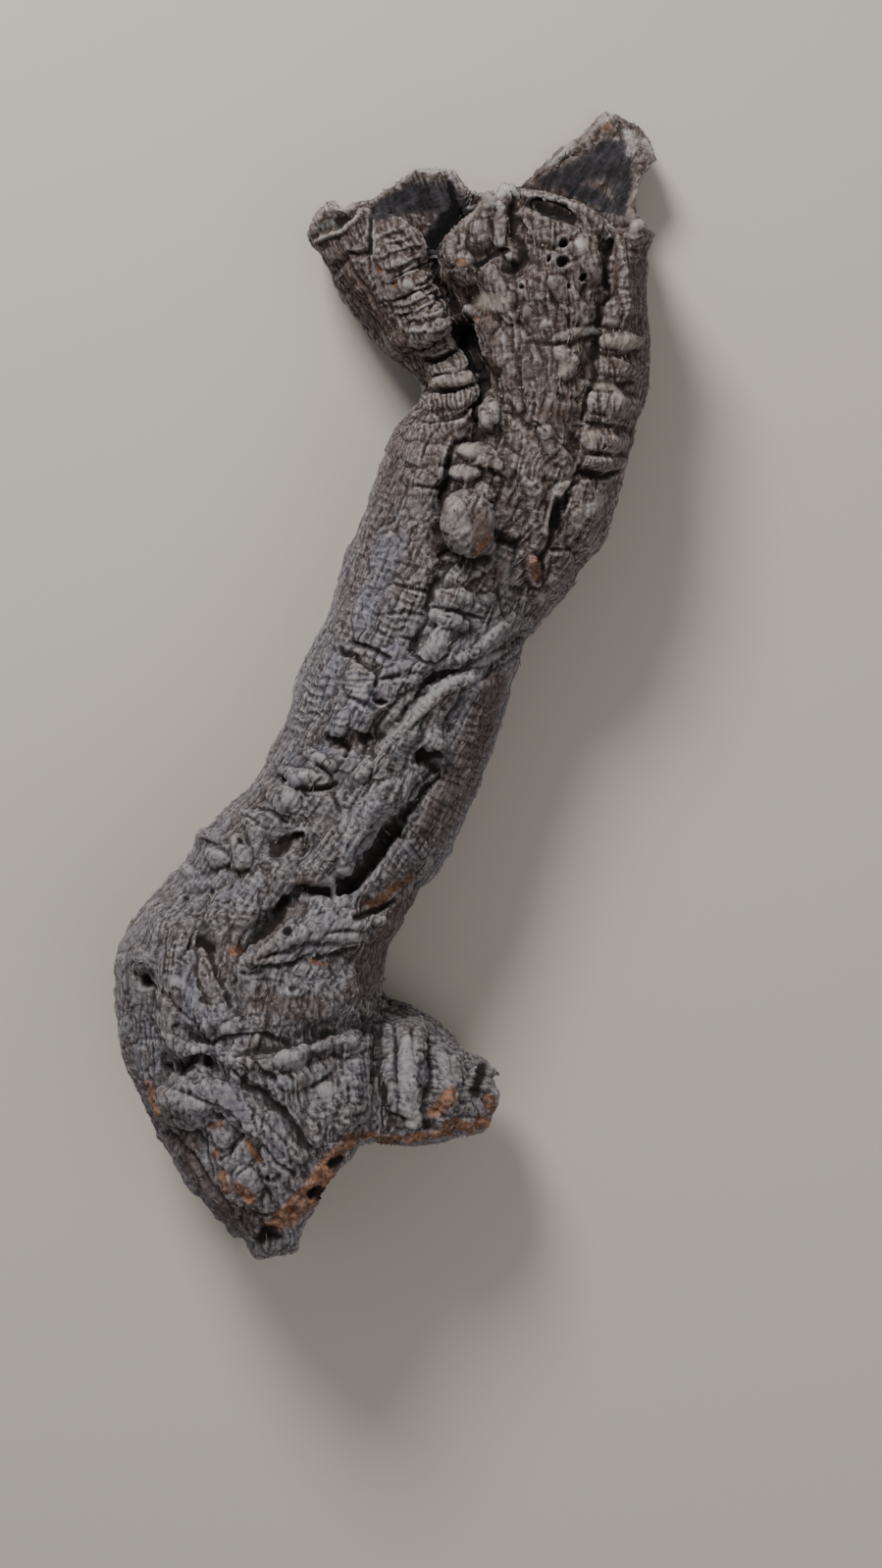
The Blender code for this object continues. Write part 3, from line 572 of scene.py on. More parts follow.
# %% Strands: rise, ring height and ring spacing in pixels, then their points
STRANDS = {
    "upper_left_limb": drawn_lines("""
6.5 1.5 12: 398 226 20, 406 250 27, 418 285 33, 434 318 33, 442 344 27;
4 1.4 10: 424 352 10, 446 345 13, 470 330 13, 478 318 9;
4 0.8 7: 440 374 9, 462 370 12, 484 362 10;
5.5 0.6 5: 442 391 8, 462 388 10, 484 382 8;
4.2 1.2 5: 434 409 8, 460 407 10, 488 400 9;
3.5 0.6 6: 414 440 9, 440 436 11, 470 428 8;
3 0.5 9: 334 262 9, 350 284 9, 372 308 10, 392 336 9, 408 352 8;
2.2 0.5 8: 352 246 8, 364 268 9, 384 296 9, 400 322 8;
3.2 0.3 9: 322 246 3, 335 241 3, 348 233 3, 358 225 3, 366 216 4;
2.6 0.3 9: 318 236 4, 324 218 4, 337 209 4, 350 214 3, 361 210 3"""),
    "upper_right_limb": drawn_lines("""
4 0.15 8: 464 250 18, 468 270 17, 474 284 10;
4.5 0.15 8: 499 204 9, 492 224 12, 487 246 13;
4 0.15 7: 513 200 9, 511 222 9, 509 246 8;
3.5 0.15 7: 503 262 8, 515 264 9, 524 266 6;
4 0.15 7: 498 274 9, 503 288 12, 510 308 13, 520 322 9;
4 0.15 9: 536 216 9, 548 228 12, 566 236 12, 584 238 8;
2.8 0.15 9: 532 196 4, 556 199 4, 580 207 4, 600 215 5, 614 226 5, 620 242 5;
3.5 0.15 9: 592 246 12, 604 264 13, 610 290 10, 606 318 8;
3 0.15 11: 540 282 15, 546 306 18, 552 334 15;
3.5 0.15 9: 568 288 11, 580 304 13, 596 322 10;
3.8 0.15 10: 496 330 9, 506 346 13, 514 366 13, 520 392 11, 524 412 9;
3.2 0.15 10: 534 340 10, 540 366 12, 542 396 11, 540 424 9;
2.6 0.15 15: 566 345 6, 582 340 7, 606 334 5;
3 0.15 15: 571 356 9, 581 366 12, 577 382 8;
2.6 0.15 15: 596 392 6, 583 418 12, 592 442 8;
3.4 0.15 9: 549 428 9;
3 0.8 9: 650 224 8, 649 244 10, 648 262 8;
2.2 0.6 9: 634 246 8, 636 280 9, 640 318 8;
2 0.6 10: 622 262 6, 620 300 7, 626 326 8;
3.6 0.5 6: 616 346 9, 634 347 11, 650 350 9;
2.2 0.5 6: 610 373 8, 630 373 11, 650 376 9;
3.8 0.6 7: 606 408 12, 626 410 17, 644 414 12;
3.2 0.9 8: 598 449 9, 616 450 13, 636 452 12;
3.2 0.6 7: 604 472 8, 622 473 9, 634 474 8;
3.8 0.5 10: 556 440 9, 566 460 9, 580 476 8, 588 486 4;
3 0.6 9: 520 430 12, 534 452 14, 546 480 13"""),
    "stem": drawn_lines("""
7 0.3 9: 501 414 9, 500 426 13, 497 434 9;
6 0.4 9: 474 458 9, 486 463 14, 500 468 11, 508 473 6;
5 0.3 8: 462 482 8, 474 482 10, 486 480 6;
5 0.3 8: 490 497 8, 498 502 6;
3 0.4 8: 424 462 12, 442 463 12, 458 462 7;
4 0.4 8: 420 484 11, 436 484 14, 450 482 8;
2.2 0.4 11: 428 506 20, 424 540 22, 432 570 20;
2 0.8 10: 424 584 22, 416 604 21, 408 630 22, 402 652 20;
1.2 0.5 10: 392 500 12, 382 550 20, 372 600 22, 358 646 20;
3.4 0.6 9: 530 470 10, 544 500 10, 550 530 9, 550 556 6;
3 0.3 9: 587 484 3, 576 496 4, 566 510 5, 561 530 5, 558 546 4;
5 0.3 9: 544 572 7, 545 586 8, 548 595 6;
3.8 0.6 9: 602 500 15, 600 522 18, 592 544 15, 588 556 10;
3.4 0.6 8: 576 572 12, 574 588 13, 566 604 11;
2.4 0.6 8: 512 524 11, 520 548 12, 516 574 11;
3.6 0.4 9: 455 586 9, 472 585 13, 486 584 8;
5 0.3 9: 448 606 9, 468 611 13, 484 618 9;
4.4 0.3 9: 444 628 8, 458 632 9, 472 638 7;
5 0.5 8: 450 648 13, 442 660 14, 434 666 9;
3.4 0.6 8: 500 598 11, 494 620 12, 488 636 9;
3.8 0.4 7: 524 628 5, 510 642 6, 498 654 7, 484 665 7, 468 672 5;
2.6 0.5 9: 470 676 5, 446 682 6, 424 680 7, 404 678 6;
5 0.3 8: 362 664 4, 378 669 6, 394 676 6;
4.4 1.3 6: 368 682 15, 367 698 17, 366 713 15;
3.4 0.4 7: 388 686 5, 404 682 6;
3 0.6 7: 390 702 8, 408 700 9, 424 694 7;
4.2 0.5 9: 372 722 10, 370 734 12, 366 742 10;
3.2 0.9 7: 346 718 12, 346 732 13, 346 744 11;
4.6 0.6 7: 526 661 5, 506 672 7, 486 684 9, 464 696 10, 446 708 10, 430 722 8, 414 738 7, 400 752 6, 384 764 5;
4 0.5 8: 424 708 8, 408 726 8, 396 742 8;
4.4 0.6 8: 472 694 12, 462 706 12, 452 724 9;
5 0.4 8: 448 726 8, 442 746 11, 438 758 11;
3.6 0.5 8: 420 752 12, 410 776 18, 400 800 20, 388 824 16;
4.6 0.4 9: 372 780 8, 362 800 13, 354 812 12;
5 0.4 9: 394 812 12, 376 824 16, 358 842 12;
4.4 0.5 9: 368 842 12, 356 864 14, 352 884 10;
3 0.4 9: 444 790 3, 430 806 5, 420 822 6, 412 838 5, 409 848 2;
2.6 0.5 8: 424 768 3, 423 786 4, 428 796 3;
2.4 0.8 11: 492 706 17, 482 740 20, 470 776 20, 456 806 18;
1.8 0.7 9: 450 818 18, 430 850 20, 404 878 18, 378 904 13;
2.2 0.8 9: 508 700 8, 498 740 8, 486 784 8, 472 824 8, 450 868 8;
1.6 1.1 10: 330 680 15, 318 712 18, 306 744 16;
4.8 0.4 7: 312 765 6, 324 772 8, 338 779 7;
6 0.4 8: 286 785 6, 304 790 9, 320 795 9, 332 795 6;
3.8 0.4 9: 274 804 13, 292 816 17, 304 826 13;
2.4 0.5 9: 326 806 8, 332 822 10, 322 842 8;
2.6 0.6 9: 250 828 9, 262 842 11, 262 856 10;
2.6 0.5 8: 340 862 13, 322 884 14, 300 896 11;
2.4 0.5 9: 310 850 8, 300 870 9, 284 888 9;
5.2 0.3 9: 242 856 9, 246 870 12, 244 884 9;
4.6 0.3 9: 214 870 8, 220 878 10"""),
    "lower_left_limb": drawn_lines("""
4 0.3 9: 190 886 8, 196 890 5;
3 0.5 9: 206 900 9, 226 898 10, 236 888 8;
3.2 0.6 9: 262 896 14, 252 922 17, 246 952 15;
2.6 0.5 9: 222 910 10, 220 934 12, 226 954 9;
3.2 0.4 9: 302 898 8, 322 897 10, 338 900 6;
3.6 0.4 9: 316 926 9, 336 922 9, 352 916 7;
3 0.4 8: 338 902 3, 344 912 3, 344 922 3;
3.6 0.4 7: 382 915 4, 400 910 5, 412 901 4, 422 894 3;
4 0.5 8: 376 936 7, 390 938 8;
5.4 0.4 10: 250 976 9, 272 964 12, 298 954 13, 326 944 14, 352 936 13, 370 944 9;
4.6 0.3 9: 330 958 6, 350 958 7, 372 956 6;
4 0.3 9: 262 982 4, 290 978 5, 318 970 6, 346 966 5, 366 962 4;
3 0.4 9: 284 1000 10, 310 990 13, 338 980 13;
2.6 0.7 9: 262 1010 10, 290 1012 12, 322 1006 12;
2.6 0.8 9: 262 1034 13, 296 1034 15, 330 1022 15, 352 1010 11;
3 0.4 9: 354 992 10, 362 1012 12, 368 1030 10;
2.6 0.5 10: 150 950 10, 166 944 12, 186 938 12;
2.8 0.5 10: 190 944 14, 184 966 18, 176 990 17, 170 1012 12;
3 0.4 10: 140 970 10, 142 986 11;
4 0.3 10: 208 968 7, 214 988 12, 224 1012 14, 233 1032 10;
3.4 0.4 9: 180 1006 12, 194 1026 14, 206 1048 10;
3.2 0.3 9: 168 1020 8, 172 1040 10, 168 1054 8;
2.4 0.3 9: 122 975 5, 122 1010 5, 122 1050 5, 128 1100 5;
1.6 0.6 14: 142 1012 12, 144 1040 14;
1.8 0.6 16: 148 1070 15, 150 1094 15;
4.2 0.4 9: 178 1062 12, 186 1070 12, 206 1068 8;
3.4 0.3 9: 196 1090 9, 206 1090 8;
3.8 0.4 9: 240 1044 9, 232 1052 9;
3 0.5 9: 222 1066 8, 240 1070 10, 258 1062 9;
3 0.5 9: 250 1084 10, 236 1082 8;
4.8 0.5 9: 270 1086 9, 290 1082 13, 308 1074 12;
3.8 0.7 8: 322 1066 9, 344 1062 11, 364 1058 9;
3.6 0.7 8: 290 1104 10, 314 1098 12, 336 1090 10;
4.2 0.5 9: 374 1060 9, 372 1084 12, 366 1104 10;
4.4 0.6 9: 352 1104 14, 336 1122 18, 324 1146 15, 320 1166 9;
4.2 0.6 9: 372 1110 12, 366 1130 14, 352 1148 12;
3.4 0.5 8: 226 1086 7, 250 1097 7, 272 1108 7, 288 1124 6;
4 0.5 9: 208 1106 11, 236 1120 15, 262 1138 14, 284 1158 12, 306 1180 10;
3.6 0.4 9: 240 1142 9, 262 1160 12, 284 1184 13, 300 1206 10;
4.2 0.4 10: 164 1116 11, 184 1126 15, 206 1140 12;
3 0.3 9: 178 1146 6, 194 1148 7;
4.2 0.4 10: 214 1144 9, 224 1156 14, 228 1166 10;
4.2 0.4 10: 232 1182 12, 246 1174 12;
4 0.4 10: 246 1200 13, 258 1218 18, 266 1232 12;
3 0.3 10: 228 1204 9, 234 1216 9;
3.4 0.4 10: 272 1190 9, 282 1210 11, 286 1228 8;
3 0.5 12: 186 1160 6, 200 1188 7, 216 1220 6;
2.6 0.5 12: 172 1160 5, 180 1184 6, 196 1212 5"""),
    "lower_right_spur": drawn_lines("""
3.2 0.3 9: 394 1046 6, 394 1066 7, 394 1100 5, 400 1130 5;
4.4 0.3 14: 412 1052 8, 414 1080 10, 418 1110 14, 420 1144 12;
3.8 0.3 14: 430 1050 7, 428 1076 8;
3.8 0.3 12: 448 1072 9, 454 1096 12, 458 1124 13, 452 1148 9;
2.6 0.3 12: 464 1078 5, 470 1100 6;
4.6 0.2 12: 484 1092 5, 494 1100 6, 502 1112 6, 504 1124 6;
3.6 0.3 12: 470 1147 6, 484 1148 7, 494 1146 5;
3 0.3 12: 436 1156 5, 452 1154 6"""),
}
print(sum(len(lines) for lines in STRANDS.values()), "strands")

# %% Lumps, grooves and holes
# Lumps: centre, half width, half length, lean in degrees and rise in mm
LUMPS = [
    (477, 534, 29, 36, 0, 11), (470, 520, 18, 16, 0, 11.5), (518, 193, 9, 7, 0, 4), (650, 229, 8, 9, 0, 4),
    (592, 251, 9, 6, -20, 4.5), (556, 330, 8, 9, 0, 4.5), (516, 308, 9, 12, 0, 5.5), (470, 264, 14, 12, 0, 5.5),
    (372, 730, 9, 13, 10, 5.5), (292, 818, 16, 14, 0, 5), (446, 758, 9, 7, 0, 6.5), (472, 610, 13, 9, 0, 6),
    (450, 652, 10, 11, 0, 6.4), (296, 1078, 16, 10, 0, 6), (338, 1112, 13, 12, 0, 5.4), (220, 874, 9, 9, 0, 6),
]
# Grooves: depth, then their points
GROOVES = drawn_lines("""
13: 441 266 2.2, 446 285 2.9, 453 300 4.3, 464 314 5.8, 474 330 5.8, 480 346 5, 484 360 4.3, 489 378 4.3,
    494 394 3.6;
9: 494 396 2.9, 490 408 2.2, 480 418 2.2, 470 424 3.6, 448 428 3.6, 430 430 2.9;
9: 488 410 2.2, 486 424 2.9, 490 440 2.2, 484 448 2.9, 466 450 2.9, 460 460 2.9, 457 472 2.9, 455 490 3.6,
    451 508 2.2, 449 526 2.2, 447 544 2.9, 454 558 3.6;
11: 452 564 4.3, 468 569 5, 484 576 5, 498 571 4.3;
7: 459 574 3.6, 451 586 2.9, 441 598 2.9, 436 614 2.2, 433 632 2.2, 426 648 2.2, 420 664 2.2;
6: 420 666 2.2, 432 674 2.2, 446 678 2.2, 456 668 2;
5: 440 618 2, 458 622 2.2, 474 627 2.2, 490 632 2;
5: 434 636 2, 446 640 2.2, 460 643 2;
6: 402 594 2, 420 599 2.2, 436 603 2;
3: 402 572 2, 424 578 2, 444 582 2;
3: 378 640 2, 400 648 2, 424 652 2;
3: 380 626 2, 410 624 2, 432 626 2;
5: 424 494 2, 438 497 2.2, 450 497 2.2;
8: 358 655 2.2, 372 660 2.9, 386 667 3.6, 397 671 2.9;
9: 346 662 2.9, 358 669 2.9, 372 677 2.9, 386 685 2.9, 383 700 2;
6: 350 700 2, 354 710 2.9, 366 716 2.9, 380 721 2.9;
9: 383 715 2.2, 389 715 2.9, 394 715 2.2;
4: 385 693 2, 398 690 2.2, 408 689 2;
9: 334 752 2.2, 346 755 3.6, 356 761 3.6, 352 768 2.2;
9: 362 747 2.2, 370 753 4.3, 377 752 2.9;
8: 286 794 2.2, 298 800 2.9, 314 806 2.9, 330 804 2.2, 340 799 2;
6: 318 777 2, 330 783 2.2, 336 792 2.2;
6: 302 802 2, 308 806 2.2, 316 812 2;
5: 262 822 2, 274 828 2.2, 284 834 2.2, 292 838 2;
4: 246 830 2, 258 836 2, 272 843 2;
10: 282 866 5, 291 862 6.5, 300 855 4.3, 306 852 3.6;
8: 206 858 4.3, 218 858 5, 230 856 3.6;
7: 230 886 2.9, 242 891 4.3, 252 888 2.9;
6: 248 861 2.2;
6: 186 908 4.3, 200 908 5, 212 904 2.9;
8: 532 652 2.2, 518 664 2.9, 504 676 4.3, 494 690 5.8, 486 700 4.3;
7: 492 680 2.2, 476 682 2.2, 458 684 2.2, 444 688 2.9, 434 696 2.9;
5: 432 698 2.2, 424 712 2.2, 414 726 2.2, 404 742 2.2;
5: 474 704 2.9, 466 718 2.9, 458 732 2.2;
10: 428 772 4.3, 438 776 5.8, 444 786 4.3;
11: 446 790 2.2, 434 802 2.9, 424 818 2.9, 412 834 4.3, 402 846 5.8, 388 864 6.5, 372 884 5.8, 358 900 5.8,
    346 908 4.3;
7: 405 816 2.2, 404 828 2.9, 396 842 3.6, 384 850 3.6, 370 860 2.9, 362 878 2.9;
8: 302 908 2.9, 318 910 3.6, 334 908 2.9, 340 914 2.9;
6: 320 922 4.3, 308 928 5, 300 934 3.6;
9: 292 918 3.6, 282 932 5.8, 268 948 6.5, 254 962 5, 246 972 2.9;
9: 294 950 5.8;
8: 360 936 2.9, 374 930 2.9, 390 925 3.6, 404 918 2.9;
5: 258 990 2.2, 276 986 2.2, 300 982 2, 322 968 2.2, 326 976 2.2, 346 974 2.2, 364 968 2.2;
5: 244 992 2.2, 256 994 2.9, 266 992 2.2;
6: 296 1008 2.9, 304 1006 2.2;
7: 206 960 3.6, 213 970 3.6, 219 988 2.9, 226 1006 2.9, 236 1024 2.2;
4: 200 940 2, 196 960 2, 184 978 2;
4: 182 1030 2, 198 1044 2.2, 206 1058 2;
4: 206 1034 2, 214 1048 2, 220 1060 2;
7: 200 1060 2, 218 1064 2.2, 236 1058 2.2, 262 1056 2, 284 1062 2.2, 304 1064 2.9, 322 1056 2.9, 342 1050 2.2;
5: 240 1076 2.2, 256 1070 2.2, 276 1068 2.2, 300 1064 2;
6: 262 1084 2.2, 270 1094 2.9, 280 1100 2.9;
5: 340 1078 2.2, 350 1082 2.9, 362 1076 2.2, 372 1072 2.2;
5: 320 1108 2.2, 334 1098 2.2, 342 1088 2.9;
4: 352 1140 2, 362 1138 2.2, 372 1132 2;
9: 146 999 4.3, 148 1004 3.6;
5: 152 1004 2.2, 154 1022 2.9, 162 1042 2.9, 164 1050 2.9;
3: 126 1068 2, 140 1060 2, 160 1060 2.2, 166 1076 2.9, 168 1092 2.9;
9: 168 1088 2.9, 180 1090 4.3, 192 1082 3.6, 206 1080 2.9, 214 1086 2.9;
6: 184 1112 2.9, 196 1118 2.9, 212 1126 2.2, 224 1132 2.2, 240 1142 2.9, 244 1150 2.9;
8: 238 1092 2.2, 252 1104 3.6, 266 1112 4.3, 280 1126 3.6, 292 1140 2.9, 304 1156 2.9, 316 1174 2.2;
4: 254 1128 2, 272 1146 2, 288 1160 2.2, 304 1178 2;
5: 268 1168 2, 282 1184 2.2, 298 1197 2.2;
5: 224 1182 2, 236 1173 2.2, 246 1160 2.2;
5: 242 1198 2, 252 1190 2.2, 262 1182 2.2;
6: 256 1168 2.2, 262 1180 2.9, 268 1190 2.2;
6: 272 1202 2.9;
6: 168 1152 2.2, 184 1156 3.6, 202 1156 2.9, 208 1164 2.2;
5: 208 1160 2, 212 1186 2.2, 218 1216 2.2;
5: 222 1222 2.2, 240 1234 2.2, 258 1242 2.9, 274 1240 2.2;
9: 264 1250 3.6, 268 1264 6.5, 276 1266 5.8;
9: 166 1156 3, 180 1166 4, 196 1180 4, 208 1198 4, 218 1216 4, 236 1238 4;
8: 338 1190 4, 348 1182 4;
8: 316 1222 4, 328 1212 4;
5: 386 1078 2, 387 1096 2.2, 389 1112 2.2, 394 1130 2.2, 397 1144 2;
5: 402 1044 2, 402 1060 2.2, 402 1082 2.2, 403 1104 2;
3: 421 1042 2, 421 1068 2;
5: 438 1054 2, 436 1074 2, 440 1090 2, 440 1102 2.2, 436 1116 2, 434 1132 2.2, 439 1150 2.2;
5: 384 1042 2, 394 1036 2, 402 1039 2;
4: 446 1060 2, 454 1068 2, 466 1074 2, 472 1088 2.2, 476 1104 2;
4: 358 1024 2.9, 366 1030 2.9, 372 1040 2.2;
6: 484 270 2.2, 494 264 2.9, 504 258 2.9, 518 256 2.2;
6: 512 271 2.2, 522 273 2.2, 532 264 2.9, 530 248 2.9, 524 236 2.2, 524 206 2;
5: 536 246 2.9, 550 248 3.6, 566 250 2.9;
4: 500 212 2, 500 232 2, 497 246 2;
7: 622 246 2.2, 618 266 2.2, 617 286 3.6, 622 298 3.6, 612 312 2.9, 610 328 2.9;
7: 608 330 2.9, 606 350 2.9, 605 372 2.9, 603 392 2.9, 598 406 2.2, 592 430 2.2;
6: 612 331 2.2, 626 332 2.9, 640 334 2.9;
6: 606 388 2.9, 620 390 2.9, 636 393 2.9, 648 392 2.2;
4: 604 399 2, 624 400 2;
4: 606 360 2, 628 361 2.2, 646 362 2.2;
4: 596 432 2, 618 434 2.2, 638 436 2;
5: 594 462 2.2, 612 462 2.9, 626 466 2.2;
9: 588 482 2.2, 600 484 3.6, 616 485 3.6, 632 484 2.2;
8: 580 504 3.6, 570 518 4.3, 564 534 3.6, 562 552 2.9, 554 570 2.9, 552 588 2.2;
5: 564 562 2.2, 580 563 2.2, 598 560 2.2;
3: 582 352 2.2, 604 342 3.6;
3: 588 384 2.2, 599 370 3.6;
3: 570 402 2.2, 584 408 4.3;
6: 566 448 4.3, 566 466 3.6;
5: 558 490 3.6, 570 490 4.3, 562 500 2.9;
4: 556 350 2.2, 574 350 2.2;
4: 510 320 2.2, 528 328 2.2, 540 340 2;
5: 506 384 2.2, 500 394 2.9, 512 404 2.2, 524 416 2.2;
4: 544 410 2, 542 430 2.2, 556 438 2;
5: 508 552 2.2, 522 556 3.6, 532 548 2.9;
5: 524 600 3.6, 538 604 4.3, 550 602 3.6;
4: 500 480 2.2, 512 486 2.2, 508 506 2.9, 500 512 2.2;
4: 468 494 2, 462 500 2.2, 484 494 2;
5: 437 268 2, 424 274 2.2, 408 282 2.2;
4: 442 282 2, 430 290 2.2, 418 295 2;
4: 426 297 2, 412 302 2, 400 306 2;
4: 452 300 2, 430 311 2, 410 320 2;
3: 456 321 2, 440 327 2, 424 333 2;
7: 422 358 2.2, 436 354 2.2, 452 346 2.9, 464 338 2.2;
8: 432 366 2.2, 440 370 2.9, 452 364 2.9, 466 356 2;
4: 442 383 2, 462 380 2, 484 374 2;
5: 440 399 2, 462 398 2.2, 482 392 2;
8: 376 222 2, 376 240 2.9, 374 256 4.3, 364 260 3.6, 354 258 2.9;
6: 330 232 4.3, 340 226 5.8, 350 221 4.3;
4: 352 262 3.6, 344 272 4.3""")
# Insect holes: centre and radius in pixels
HOLES = [(575, 246, 3.6), (559, 261, 3.4), (575, 265, 5), (595, 284, 3.6), (581, 291, 3), (530, 292, 2.6)]
print(len(LUMPS), "lumps,", len(GROOVES), "grooves and", len(HOLES), "holes")

# %% Raise and cut them
WOBBLE = 2.2                # pixels by which noise shifts every drawn line
WOBBLE_SIZE = 0.0085        # metres
STRAND_SHARE = 0.56         # real height for each mm that is listed
STRAND_BASE = 1.5           # mm between the plain skin and the level that strands rise from
GROOVE_SHARE = 0.31
GROOVE_FLARE = 1.5          # a groove's banks reach this many half widths out
GROOVE_LOOK = 1.6           # and points are looked up a little further
RING_SHARE = 2.1            # rings are drawn this much stronger than they are listed
RING_RISES = 0.84           # share of a ring that climbs before it drops
HOLE_DEPTH = 4.0
HOLE_RIM = 1.35             # a hole starts to sink this many radii from its centre
HOLE_FLOOR = 0.7            # and is at its full depth from here inwards
KNOB_GAIN = 0.3             # the right limb's knob is lumpier than the rest, and less cracked
BREAK_ROUGHNESS = 2.6       # mm of rubble on broken edges
RUBBLE = 0.0045             # metres

shift = np.stack([rough_noise(points / WOBBLE_SIZE, 91 + k, 3) for k in range(2)], axis=1)
drawn = pixels + WOBBLE * shift
front = step_between(-0.1, 0.35, normals[:, 2]) * (1 - inside)


def strand_height(rise, ring_height, ring_space, stroke, salt):
    """Points inside one strand, and its height there."""
    close = near_stroke(drawn, stroke)
    reach, side, far = along_stroke(drawn[close], stroke)
    # Its edges wander in and out, each for itself, and its cross section is a flattened dome
    wobble = 1 + 0.16 * noise(np.stack([far / 13.0, np.sign(side) * 3.0], axis=1), salt)
    t = np.clip(reach / wobble, 0, 1)
    dome = (1 - t ** 2.2) ** 0.75
    # Rings climb slowly and drop quickly, bent by noise and swept back at the edges
    phase = far / ring_space + 0.45 * noise(drawn[close] / 16.0, salt + 1) + 0.3 * t ** 2
    part = phase - np.floor(phase)
    ridge = part ** 1.3 * step_between(1.0, RING_RISES, part)
    # Its height is uneven too
    patchy = rise * (1 + 0.38 * rough_noise(drawn[close] / 10.0, salt + 2, 2))
    inner = t < 1
    rings = RING_SHARE * ring_height * (ridge - 0.5)
    return close[inner], ((patchy + rings) * dome)[inner]


def lump_height(px, py, half_across, half_along, lean):
    """Round lump from 0 at its foot to 1 at its top."""
    turn = math.radians(lean)
    offset = drawn - np.array((px, py))
    u = (offset[:, 0] * math.cos(turn) - offset[:, 1] * math.sin(turn)) / half_across
    v = (offset[:, 0] * math.sin(turn) + offset[:, 1] * math.cos(turn)) / half_along
    return np.sqrt(np.clip(1 - u ** 2 - v ** 2, 0, 1))


relief = np.zeros(len(points))
grooves = np.zeros(len(points))
number = 100
for strands in STRANDS.values():
    for rise, ring_height, ring_space, stroke in strands:
        spots, height = strand_height(rise, ring_height, ring_space, stroke, number)
        relief[spots] = np.maximum(relief[spots], height)
        number += 3
for px, py, half_across, half_along, lean, rise in LUMPS:
    relief = np.maximum(relief, rise * lump_height(px, py, half_across, half_along, lean))
for depth, stroke in GROOVES:
    spots = near_stroke(drawn, stroke, GROOVE_LOOK)
    reach, _, _ = along_stroke(drawn[spots], stroke)
    cut = depth * GROOVE_SHARE * np.clip(1 - reach / GROOVE_FLARE, 0, 1)
    grooves[spots] = np.maximum(grooves[spots], cut)
for px, py, radius in HOLES:
    away = np.hypot(pixels[:, 0] - px, pixels[:, 1] - py)
    grooves = np.maximum(grooves, HOLE_DEPTH * step_between(radius * HOLE_RIM, radius * HOLE_FLOOR, away))
bolder = 1 + KNOB_GAIN * share_of["upper_right_limb"]
relief = STRAND_SHARE * relief * bolder - STRAND_BASE - grooves
print("front relief from", round(relief.min(), 1), "to", round(relief.max(), 1), "mm")

# %% [markdown]
# ## Tints brushed on
# Weather has not touched the branch evenly. Fresh breaks are orange, sheltered walls brown, worn
# rims nearly white, and open stretches a cool lilac grey. The brown strokes also paint shade under
# ledges and down the stem's right side, and the dark strokes are painted shade in slits, pits and
# under overhangs. The hollow's strokes mark its dark wall, which is partly painted shade. Each tint
# is a set of brush strokes on the same picture, written as points with a brush radius in pixels.

# %% Brush strokes
def strokes_in(table):
    """Strokes of a table, which have no numbers of their own."""
    return [stroke for stroke, in drawn_lines(table)]


